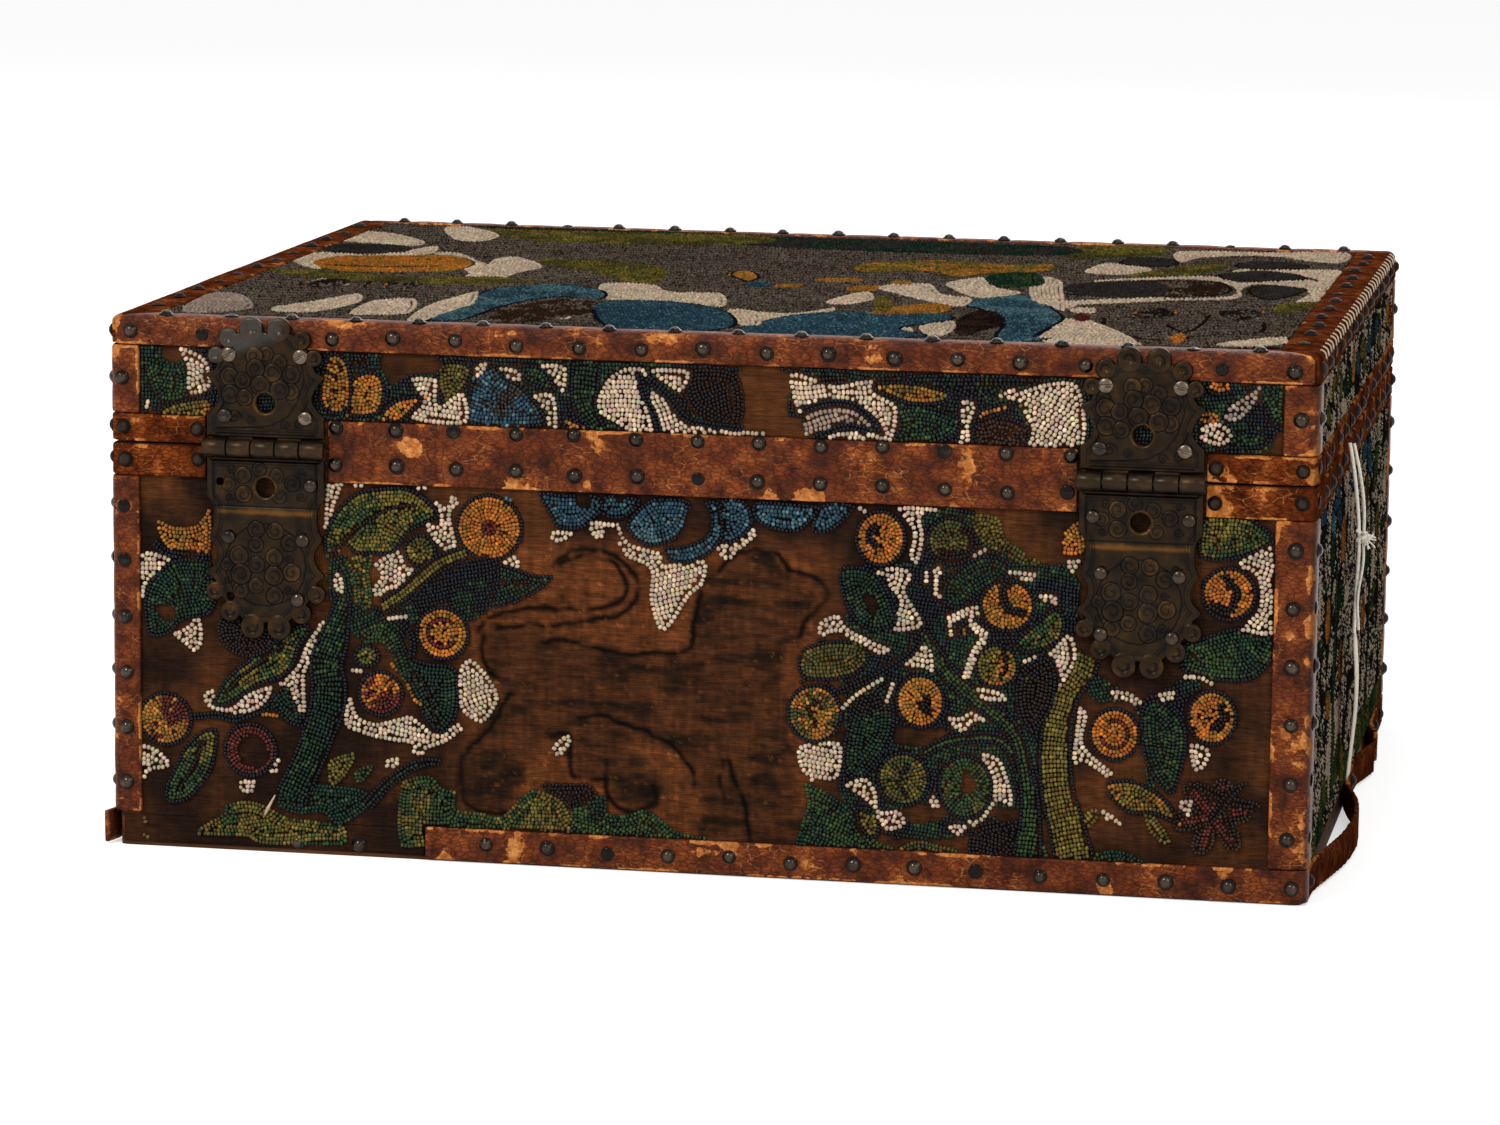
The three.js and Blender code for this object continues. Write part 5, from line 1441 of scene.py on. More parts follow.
    def draw(self, kind, tones, option, numbers):
        p = np.asarray(numbers, float)
        if kind == "fruit":
            return self.fruit(*p[0], *p[1], tones, option)
        if kind == "trunk":
            return self.trunk(p, tones)
        if kind == "line":
            line = smooth_line(p, 0.2)
            _, aside = directions(line)
            for k in range(int(option)):
                self.lay(line + aside * PITCH * (k - (int(option) - 1) / 2), tones, 0.3 * RISE)
            return None
        outline = smooth_line(p, 0.3, closed=True)
        if kind == "bare":
            return self.keep_bare(outline)
        if kind == "rows":
            self.shape(outline, tones, 1, 0.0)
        elif kind == "rowsf":
            self.rows(outline, tones, self.rng.uniform(-0.3, 0.3))
        else:
            self.shape(outline, tones, 9 if kind == "leaf" else 3, drawn=kind == "leaf")
        return None

    def flower(self, x, y):
        """Six brown petals round a place, with a dark red rib in each."""
        turns = [(math.cos(turn), math.sin(turn)) for turn in np.radians(12 + 60 * np.arange(6))]
        for c, s in turns:
            self.draw("line", "m", "2", [(x, y), np.round((x + 11 * c, y + 11 * s))])
        around = 2 * math.pi * np.arange(8) / 8
        along, aside = 8.2 + 6.2 * np.cos(around), 3.9 * np.sin(around)
        for c, s in turns:
            self.draw("leaf", "eek", "", np.round(np.stack([x + along * c - aside * s,
                                                            y + along * s + aside * c], 1)))

    def draw_text(self, text, plane):
        for motif in read_motifs(text, plane):
            self.draw(*motif)


ICO_A, ICO_B = 0.5257311, 0.8506508
ICO = np.array([(-ICO_A, ICO_B, 0), (ICO_A, ICO_B, 0), (-ICO_A, -ICO_B, 0), (ICO_A, -ICO_B, 0),
                (0, -ICO_A, ICO_B), (0, ICO_A, ICO_B), (0, -ICO_A, -ICO_B), (0, ICO_A, -ICO_B),
                (ICO_B, 0, -ICO_A), (ICO_B, 0, ICO_A), (-ICO_B, 0, -ICO_A), (-ICO_B, 0, ICO_A)])
ICO_FACES = np.array([(0, 11, 5), (0, 5, 1), (0, 1, 7), (0, 7, 10), (0, 10, 11), (1, 5, 9),
                      (5, 11, 4), (11, 10, 2), (10, 7, 6), (7, 1, 8), (3, 9, 4), (3, 4, 2),
                      (3, 2, 6), (3, 6, 8), (3, 8, 9), (4, 9, 5), (2, 4, 11), (6, 2, 10),
                      (8, 6, 7), (9, 8, 1)])
BEADS_A_PIECE = 9500


def bead_pieces(panel, node, body):
    """The panel's beads as small solids with their own colours, in pieces of a few thousand."""
    rng = panel.rng
    order = sorted(panel.beads, key=lambda b: b[0])
    place = np.array([b[:3] for b in order])
    rise = np.array([b[4] for b in order])
    pale = np.array([b[3] in "wp" for b in order])[:, None]
    tone = np.array([TONES[b[3]] for b in order], float)
    count = len(order)
    tint = 1 + 0.15 * rng.normal(size=(count, 1)) + 0.05 * rng.normal(size=(count, 3))
    tint *= 1 + 0.12 * noise(np.column_stack([place[:, :2], np.zeros(count)]), 18, 2)[:, None]
    tint = np.where(pale, 1 + 0.6 * (tint - 1), tint)
    # Painted shade: beads on the top take 0.84 of their colour and those on the right end 0.66.
    shade = {"top": 0.84, "right": 0.66}.get(panel.side, 1.0)
    colour = linear(np.clip(tone * tint * shade, 5, 240))
    size = np.array([0.74, 0.88, 0.78]) * (1 + 0.05 * rng.normal(size=(count, 3)))
    size *= np.where(pale, 1.14, 1.0) * np.where(rng.random((count, 1)) < 0.04, 0.8, 1.0)
    spin = ICO @ np.array(Matrix.Rotation(0.55, 3, "X")).T
    shape = spin[None] * size[:, None]
    turn = place[:, 2] + rng.normal(0, 0.16, count)
    c, s = np.cos(turn)[:, None], np.sin(turn)[:, None]
    tip = rng.normal(0, 0.14, count)[:, None]
    du = shape[..., 0] * c - shape[..., 1] * s
    dv = shape[..., 0] * s + shape[..., 1] * c
    dh = shape[..., 2] + tip * shape[..., 0]
    lift = LINEN_TALL + 0.46 + rise + 0.06 * rng.normal(size=count)
    jitter = rng.normal(0, 0.05, (count, 2))
    u, v = place[:, :1] + jitter[:, :1] + du, place[:, 1:2] + jitter[:, 1:] + dv
    points = in_space(panel.side, u, v, lift[:, None] + dh)
    for first in range(0, count, BEADS_A_PIECE):
        part = slice(first, min(first + BEADS_A_PIECE, count))
        n = part.stop - part.start
        faces = (ICO_FACES[None] + 12 * np.arange(n)[:, None, None]).reshape(-1, 3)
        name = f"{node}_beads_{first // BEADS_A_PIECE + 1}"
        beads = mesh_piece(name, points[part].reshape(-1, 3) * MM, faces,
                           GLOSSLESS_BEAD if panel.side in ("top", "right") else BEAD)
        put_colours(beads, "colour", np.repeat(colour[part], 12, 0))
        uv = np.stack([u[part].ravel(), v[part].ravel()], 1)
        put_bake_map(beads, (uv - uv.min(0)) / (np.ptp(uv, axis=0).max() * 1.001))
        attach(beads, body)


def linen_piece(name, node, body, side, u0, u1, v0, v1, pitch, colour_of):
    """The linen that lies under a panel's beads, with a little unevenness."""
    u = np.linspace(u0, u1, int((u1 - u0) / pitch) + 2)
    v = np.linspace(v1, v0, int((v1 - v0) / pitch) + 2)
    uu, vv = np.meshgrid(u, v)
    flat = np.stack([uu.ravel(), vv.ravel(), np.full(uu.size, 3.0 * len(side))], 1)
    wave = 0.07 * noise(flat, 7, 2)
    outer = in_space(side, flat[:, 0], flat[:, 1], LINEN_TALL + wave)
    inner = in_space(side, flat[:, 0], flat[:, 1], 0.03)
    linen = mesh_piece(name, np.concatenate([outer, inner]) * MM, closed_grid(len(v), len(u)),
                       LINEN)
    colour = linear(np.clip(colour_of(flat), 6, 250))
    # The side against the board is darkened to 0.6 of the colour as painted shade; the rims blend
    # between the two.
    put_colours(linen, "colour", np.concatenate([colour, colour * 0.6]))
    uv = flat[:, :2] - (u0, v0)
    put_bake_map(linen, np.concatenate([uv, uv]) / (max(u1 - u0, v1 - v0) * 1.001))
    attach(linen, body)
    if node:
        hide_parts(node)
    return linen


def stained(flat):
    """Old brown linen, darker in patches."""
    level = noise(flat, 34, 3)[:, None]
    fine = noise(flat + 50, 3.2, 2)[:, None]
    brown, dark = np.array([87, 50, 26.0]), np.array([34, 21, 15.0])
    mixed = brown + (dark - brown) * ramp(level + 0.3 * fine, -0.4, 0.4)
    threads = noise(flat * (0.1, 1, 1), 1.1) + noise(flat * (1, 0.1, 1) + 9, 1.1)
    return mixed * (1 + 0.2 * fine + 0.1 * threads[:, None])


def inked(flat):
    """The rear's linen: the animal's dark shape, its ink lines and a paler thread beside each."""
    colour = stained(flat)
    near = np.nonzero((np.abs(flat[:, 0] + 20) < 72) & (flat[:, 1] > 8) & (flat[:, 1] < 120))[0]
    here = flat[near]
    p = here[:, :2] + 0.9 * np.stack([noise(here, 3.5, 2), noise(here + 30, 3.5, 2)], 1)
    mid, fine = noise(here, 8, 3), noise(here + 50, 2, 2)
    threads = noise(here * (0.12, 1, 1), 1.1) + noise(here * (1, 0.12, 1) + 9, 1.1)
    outline, *ink_lines = [points for *_, points in read_motifs(ANIMAL, REAR_LINEN)]
    body = ramp(line_distance(p, smooth_line(outline, 3, closed=True), True) + 5 * mid, -2, 3)
    bars = ramp(noise(here * (0.3, 1, 1) + 70, 3.2, 2), -0.1, 0.45)
    body = body * (0.36 + 0.5 * bars) + 0.25 * ramp(mid, 0.1, 0.6)
    brown, shade = np.array([98, 54, 28.0]), np.array([29, 19, 13.0])
    tone = brown + (shade - brown) * np.clip(body, 0, 1)[:, None]
    tone *= 1 + 0.12 * threads[:, None] + 0.22 * fine[:, None]
    gap = ramp(noise(here + 20, 5, 2), -0.6, 0.0)
    for line in ink_lines:
        off = line_distance(p, smooth_line(line, 1.5))
        pale = np.exp(-((-off - 1.7) / 0.6) ** 2) * ramp(fine, 0.0, 0.5)
        tone += pale[:, None] * np.array([52, 32, 10.0])
        tone *= 1 - (0.84 * gap * np.exp(-(off / 0.95) ** 2))[:, None]
    speck = ramp(noise(here + 80, 1.5, 2), 0.4, 0.6) * (0.3 + 0.7 * bars)
    tone += speck[:, None] * np.array([48, 30, 8.0])
    u, v = np.abs(here[:, 0] + 20), here[:, 1]
    share = (ramp(72 - u + 6 * mid, 0, 16) * ramp(122 - v, 2, 12) * ramp(v, 8, 18))[:, None]
    colour[near] = colour[near] * (1 - share) + tone * share
    return colour


def leaf_outline(x, y, angle, length, width):
    """A bowed leaf that starts at a place."""
    t = np.linspace(0, 1, 9)
    half = 0.5 * width * np.sin(math.pi * t ** 0.8)
    bow = 0.12 * length * np.sin(math.pi * t)
    side = np.concatenate([np.stack([t * length, bow + half], 1),
                           np.stack([t * length, bow - half], 1)[-2:0:-1]])
    c, s = math.cos(angle), math.sin(angle)
    return np.stack([x + side[:, 0] * c - side[:, 1] * s, y + side[:, 0] * s + side[:, 1] * c], 1)


def mound(x, y, width, height):
    """A low green hill."""
    t = np.linspace(0, math.pi, 9)
    top = np.stack([x + width / 2 * np.cos(t), y + height * np.sin(t) ** 0.8], 1)
    return np.concatenate([top, [(x - width / 4, y - 1), (x + width / 4, y - 1)]])


def box_outline(panel):
    """The panel's edge as a closed line."""
    u0, u1, v0, v1 = panel.u0, panel.u1, panel.v0, panel.v1
    corners = np.array([(u0, v0), (u1, v0), (u1, v1), (u0, v1)], float)
    t = np.linspace(0, 1, 20, endpoint=False)[:, None]
    return np.concatenate([a + (b - a) * t for a, b in zip(corners, np.roll(corners, -1, 0))])


# A tree of the front and the ends: its fruits, leaves and trunk as shares of the half height
TREE = {"fruits": [(-0.52, 0.27, 0.16), (0.44, 0.6, 0.16), (0.47, -0.14, 0.15)],
        "leaves": [(0.3, 0.23, 0.46, 0.22, 0.1), (-0.32, 0.68, 0.46, 0.22, 0.8),
                   (-0.36, -0.2, 0.44, 0.2, 0.88), (0.5, -0.82, 0.84, 0.24, 0),
                   (-0.5, -0.84, 0.6, 0.2, 0)],
        "trunk": [(0.1, -0.9), (0, -0.25), (0.04, 0.5)], "widths": (0.2, 0.14, 0.09)}


def garden(panel):
    """Fruit trees on green mounds with a white ground, for the sides that the eye sees less."""
    rng, wide, tall = panel.rng, panel.u1 - panel.u0, panel.v1 - panel.v0
    for _ in range(int(wide / 70)):
        x, y = rng.uniform(panel.u0, panel.u1), rng.uniform(panel.v0, panel.v1)
        a = np.linspace(0, 6.28, 9)[:-1]
        r = rng.uniform(3, 9, 8)
        panel.keep_bare(smooth_line(np.stack([x + r * np.cos(a), y + r * np.sin(a)], 1), 0.5,
                                    closed=True))
    leaves, fruits = ("ndd", "ndg", "nyg", "nay", "nyv"), ("noo", "nao", "noa", "nyv", "nma")
    if tall < 60:
        x = panel.u0 + 8
        while x < panel.u1 - 6:
            y = panel.v0 + tall * rng.uniform(0.35, 0.65)
            if rng.random() < 0.35:
                r = rng.uniform(5.5, 8)
                panel.draw("fruit", rng.choice(fruits), "", [(x, y), (r, r)])
            else:
                outline = leaf_outline(x - 8, y, rng.uniform(-0.7, 0.7), rng.uniform(16, 26),
                                       rng.uniform(8, 13))
                panel.draw("leaf", rng.choice(leaves + ("nbb", "nlb")), "", outline)
            x += rng.uniform(12, 20)
    else:
        trees = round(wide / 140)
        half, middle = tall / 2, (panel.v0 + panel.v1) / 2
        for i in range(trees):
            way = 1 if i % 2 == 0 else -1
            across = panel.u0 + (i + 0.5) * wide / trees

            def at(u, v, way=way, across=across):
                return across + way * u * half, middle + v * half

            foot, fork, top = (at(u, v) for u, v in TREE["trunk"])
            for u, v, r in TREE["fruits"]:
                x, y = at(u, v)
                panel.draw("fruit", rng.choice(fruits), rng.choice(["", "C", "m"]),
                           [(x, y), (r * half, r * half)])
            for u, v, long, thick, turn in TREE["leaves"]:
                x, y = at(u, v)
                turn = math.pi * (turn if way > 0 else 1 - turn)
                start = (x - math.cos(turn) * long * half / 2, y - math.sin(turn) * long * half / 2)
                kind, tones = ("blob", ["dg", "yg", "gd"]) if v < -0.7 else ("leaf", leaves)
                panel.draw(kind, rng.choice(tones), "",
                           leaf_outline(*start, turn, long * half, thick * half * 1.1))
            spine = [(*p, w * half) for p, w in zip((foot, fork, top), TREE["widths"])]
            panel.draw("trunk", rng.choice(["nd", "ng", "ndg"]), "", spine)
            for u, v, *_ in TREE["fruits"] + TREE["leaves"][:3]:
                end, start = at(u, v), fork if v < 0.25 else top
                bend = ((start[0] + end[0]) / 2, (start[1] + end[1]) / 2 + 3)
                panel.draw("line", "k", "2", [start, bend, end])
        for _ in range(int(wide / 34)):
            x = rng.uniform(panel.u0, panel.u1)
            panel.draw("blob", rng.choice(["dg", "yg", "gd", "yv"]), "",
                       mound(x, panel.v0, rng.uniform(26, 50), rng.uniform(7, 14)))
        for _ in range(int(wide / 38)):
            x, y = rng.uniform(panel.u0, panel.u1), panel.v1 - rng.uniform(2, 12)
            panel.draw("leaf", rng.choice(["nbb", "nlb", "nbl"]), "",
                       leaf_outline(x, y, rng.uniform(-0.6, 0.3), rng.uniform(24, 36),
                                    rng.uniform(10, 15)))
    panel.grain, panel.mixed = 12, 0.06
    panel.rows(box_outline(panel), "wkndwkcdwngk" if panel.side == "right" else "w")


# The heights between which the case and the lid bear beads on their sides
CASE_LOW, CASE_HIGH, LID_LOW, LID_HIGH = 12.2, 131.8, 153.5, 177.5


def make_beadwork():
    """All panels with their beads and linen, and what the lost strip left."""
    rear = Panel("rear", -199.2, 195.9, 2.0, CASE_HIGH, 1)
    i, _ = rear.cells(np.array([[-97.5, CASE_LOW]]))
    rear.taken[i[0, 0]:, :i[0, 1] + 3] = True
    rear.draw_text(CASE_MOTIFS, REAR_BEADS)
    rear.flower(177, 29.5)
    rear.draw_text(CASE_GROUND, REAR_BEADS)
    lid_rear = Panel("rear", -198.8, 197.6, LID_LOW, LID_HIGH, 2)
    lid_rear.draw_text(LID_MOTIFS, REAR_BEADS)
    lid_rear.rows(box_outline(lid_rear), "nd")
    top = Panel("top", -195, 195, -158.2, 158.2, 3)
    top.draw_text(TOP_MOTIFS, TOP_BEADS)
    top.rows(box_outline(top), "rrcr", pitch=1.5, stripes="rrrrc")
    panels = [(rear, "case_rear_beadwork", "case"), (lid_rear, "lid_rear_beadwork", "lid"),
              (top, "lid_top_beadwork", "lid")]
    spans = {"front": 198, "left": 156, "right": 156}
    for k, (side, half) in enumerate(spans.items()):
        for body, v0, v1 in (("case", CASE_LOW, CASE_HIGH), ("lid", LID_LOW, LID_HIGH)):
            panel = Panel(side, -half, half, v0, v1, 10 + 2 * k + (body == "lid"))
            garden(panel)
            panels.append((panel, f"{body}_{side}_beadwork", body))
    for panel, node, body in panels:
        bead_pieces(panel, node, body)
        rear_case = panel is rear
        low = CASE_LOW if rear_case else panel.v0
        linen_piece(node + "_linen", node, body, panel.side, panel.u0 - 1, panel.u1 + 1, low - 1,
                    panel.v1 + 1, 0.66 if rear_case else 2.5, inked if rear_case else stained)
    tack_heads("lost_strip_tacks", [((x, -HALF_Y - 0.4, z), (0, -1, 0))
                                    for x, z in ((-142.5, 4.1), (-121.3, 4.5))], "case", 77)
    splinter = tube_mesh([(-155.2, -HALF_Y - 1.2, 12.4), (-153.6, -HALF_Y - 1.7, 15.6),
                          (-150.9, -HALF_Y - 1.4, 20.6)], np.array([0.3, 0.6, 0.25]))
    splinter = joined_piece("splinter", [splinter], THREAD)
    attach(splinter, "case")
    linen_piece("case_rear_linen_foot", None, "case", "rear", -206, -97.4, 1.5, 11.1, 1.5, stained)


make_beadwork()


# Hinges
HALF_LEAF, LID_LEAF_TALL, CASE_LEAF_TALL = 21.2, 41.0, 62.5
BARREL, BORE, BARREL_LONG, KNUCKLES, KNUCKLE_GAP = 3.1, 1.7, 43.4, 5, 0.4
LEAF_FOOT, LEAF_THICK, LEAF_PITCH, EYE, NAIL_HOLE = BARREL + 0.3, 1.6, 0.27, 3.1, 1.3
CHAMFER = 0.28
# Each leaf's shape. Outline, petals, eye and fixings are shares of half its width and of its height;
# petals also have a radius. Scales (x, y, radius), grooves and curls are millimetres.
LEAF_SHAPES = {
    "lid": {
        "tall": LID_LEAF_TALL, "eye": 0.378,
        "fixings": [(-0.6, 0.785), (0.6, 0.785), (-0.68, 0.262), (0.68, 0.262)],
        "outline": [(0.99, 0.278), (0.87, 0.33), (0.79, 0.4), (0.81, 0.475), (0.9, 0.55),
                    (0.99, 0.615), (0.84, 0.66), (0.78, 0.75), (0.66, 0.87), (0.47, 0.96),
                    (0.24, 1.0), (0, 0.975)],
        "petals": [(0.82, 0.775, 0.146), (0.61, 0.922, 0.165), (0.236, 1.003, 0.203)],
        "scales": [(-13.4, 27.4, 2.3), (-12.6, 24.4, 3.0), (-12.2, 18.4, 3.0), (0.5, 32.8, 2.3),
                   (5.2, 30, 2.5), (9.5, 25.9, 2.9), (9.2, 19.9, 2.7), (5.2, 20.5, 3.1),
                   (-3.7, 31.9, 2.8), (-7.2, 17.3, 2.6), (-8, 23.3, 2.6), (2.7, 26.3, 3.0),
                   (-3.3, 27.6, 3.0), (-1.6, 21.8, 3.1)],
        "grooves": [[(-17.5, 6.3), (-8, 6.6), (2, 7.6), (8, 11), (12, 17), (14, 24), (13, 30)],
                    [(-15.5, 13), (-14.6, 16), (-16.4, 21)], [(16, 9), (13, 12), (15.5, 17)],
                    [(-17.6, 4.6), (17.6, 4.6)]],
        "curls": [(-11, 10.4, 2.6), (-5, 9.4, 1.7), (7, 7.9, 1.8), (12.5, 8.6, 2.2),
                  (12.5, 29.6, 1.6), (-13, 31, 1.5)],
    },
    "case": {
        "tall": CASE_LEAF_TALL, "eye": 0.222,
        "fixings": [(-0.76, 0.195), (0.77, 0.2), (-0.62, 0.505), (0.63, 0.51), (-0.6, 0.84),
                    (0.54, 0.845)],
        "outline": [(0.99, 0.283), (0.89, 0.325), (0.87, 0.385), (0.89, 0.45), (0.95, 0.51),
                    (0.85, 0.56), (0.82, 0.61), (0.87, 0.66), (0.99, 0.71), (0.85, 0.755),
                    (0.75, 0.84), (0.5, 0.93), (0.25, 1.0), (0, 0.98)],
        "petals": [(0.86, 0.812, 0.156), (0.6, 0.922, 0.176), (0.225, 1.006, 0.207)],
        "scales": [(-1.9, 7.4, 2.3), (-7.8, 9.6, 2.7), (4.4, 9.4, 2.3), (-7.6, 16.3, 2.7),
                   (5.4, 16.8, 2.2), (10, 12, 2.5), (-13, 13, 2.2), (-13.8, 41.3, 2.0),
                   (9.4, 43.3, 2.9), (-9, 50.3, 2.6), (3.3, 51.7, 2.8), (-3.4, 48.4, 2.5),
                   (-9.5, 38, 3.1), (-8.8, 44.5, 3.3), (3, 44.6, 3.1), (-3.3, 28.6, 2.7),
                   (3.6, 28.9, 2.7), (-3.4, 34, 2.5), (8.6, 33, 2.7), (3.1, 38.2, 2.8),
                   (-3.2, 41, 2.7)],
        "grooves": [[(-18.3, 4.6), (18.3, 4.6)], [(-18.3, 4.6), (-18.3, 19.5)],
                    [(18.3, 4.6), (18.3, 19.5)], [(-18, 20.6), (18, 20.6)],
                    [(14.5 * math.cos(0.3 * k), 41 + 14.5 * math.sin(0.3 * k))
                     for k in range(22)]],
        "curls": [(-11.6, 7.6, 1.8), (13.2, 7.8, 1.6), (13, 16.6, 1.8), (-12.6, 17.4, 1.6),
                  (12.5, 29.3, 1.8), (-12.5, 30.5, 1.8), (8.6, 38.4, 1.6), (8.2, 49.4, 1.9),
                  (-13.6, 46.8, 1.5)],
    },
}


def relief_plate(low, high, pitch, depth, height, base):
    """A closed plate over the places where depth(points) > 0.

    Its front lies at height(points, depth) and its back at base, in the plate's own (s, t, h).
    Returns its points, faces, which faces are flat, and how many points its front has.
    """
    s = np.arange(low[0], high[0] + pitch, pitch)
    t = np.arange(low[1], high[1] + pitch, pitch)
    ss, tt = np.meshgrid(s, t)
    points = np.stack([ss.ravel(), tt.ravel()], 1)
    d = depth(points)
    inside = (d > -0.45 * pitch).reshape(ss.shape)
    cols = len(s)
    quads = inside[:-1, :-1] & inside[1:, :-1] & inside[:-1, 1:] & inside[1:, 1:]
    i, j = np.nonzero(quads)
    a = i * cols + j
    faces = np.stack([a, a + 1, a + 1 + cols, a + cols], 1)
    use = np.bincount(faces.ravel(), minlength=len(points))
    rim = (use > 0) & (use < 4)
    e = 0.05
    slope = np.stack([depth(points[rim] + (e, 0)) - d[rim],
                      depth(points[rim] + (0, e)) - d[rim]], 1) / e
    slope /= np.linalg.norm(slope, axis=1)[:, None] + 1e-6
    move = np.clip(d[rim], -0.8 * pitch, 1.2 * pitch)[:, None] * slope
    points[rim] -= move
    d[rim] = depth(points[rim])
    keep = np.nonzero(use)[0]
    index = np.zeros(len(points), int)
    index[keep] = np.arange(len(keep))
    faces, points, d = index[faces], points[keep], d[keep]
    n = len(points)
    edges = np.concatenate([faces[:, [k, (k + 1) % 4]] for k in range(4)])
    codes, back = edges[:, 0] * n + edges[:, 1], edges[:, 1] * n + edges[:, 0]
    rims = edges[~np.isin(codes, back)]
    walls = np.stack([rims[:, 1], rims[:, 0], rims[:, 0] + n, rims[:, 1] + n], 1)
    front = np.concatenate([points, height(points, d)[:, None]], 1)
    behind = np.concatenate([points, np.full((n, 1), base)], 1)
    flat = np.concatenate([np.zeros(len(faces), bool), np.ones(len(faces) + len(walls), bool)])
    return (np.concatenate([front, behind]), np.concatenate([faces, faces[:, ::-1] + n, walls]),
            flat, n)


def spiral(x, y, r):
    """A groove that winds inwards."""
    a = np.linspace(0, 9.5, 24)
    return [(x + r * (1 - k / 11) * math.cos(k), y + r * (1 - k / 11) * math.sin(k)) for k in a]


def engrave_scales(scales, p, h, shine):
    """Low domes with a coil cut into each, as new heights and shine at the places p."""
    for k, (cx, cy, r) in enumerate(scales):
        q = np.hypot(p[:, 0] - cx, p[:, 1] - cy) / (1.14 * r)
        rise = np.sqrt(np.clip(1 - (q * 0.93) ** 2, 0, 1))
        turn = np.arctan2(p[:, 1] - cy, p[:, 0] - cx)
        coil = 0.18 + 0.56 * (((-1) ** k * turn / (2 * math.pi) + 0.27 * k) % 1)
        vein = np.exp(-((q - coil) / 0.09) ** 2)
        dome = 1.58 + 0.12 * rise - 0.3 * ramp(q, 0.86, 0.98) - 0.16 * vein
        h = np.where(q < 1.03, dome, h)
        glow = 0.36 + 0.2 * ((0.618 * k) % 1)
        # A painted highlight ring on the shoulder of each dome.
        edge = np.exp(-((q - 0.8) / 0.07) ** 2)
        shine = np.where(q < 1.03, glow - 0.3 * vein + 0.1 * edge - 0.6 * ramp(q, 0.86, 0.98),
                         shine)
    return h, shine


def raise_petals(petals, tall, p, h, shine):
    """Cupped petals with a curl cut into each, as new heights and shine at the places p."""
    for cx, cy, r in petals:
        q = np.hypot(p[:, 0] - cx, p[:, 1] - cy) / r
        out = math.atan2(cy - tall * 0.55, cx)
        way = np.arctan2(p[:, 1] - cy, p[:, 0] - cx) - out
        cup = 1.72 + 0.42 * np.clip(1 - (q - 0.62) ** 2 / 0.16, -0.6, 1)
        curl = np.exp(-((q - 0.42) / 0.1) ** 2) * (np.cos(way + 0.5) > -0.2)
        cup -= 0.3 * curl
        h = np.where(q < 1.0, cup, h)
        shine = np.where(q < 1.0, 0.5 - 0.4 * curl - 0.3 * ramp(q, 0.9, 1), shine)
    return h, shine


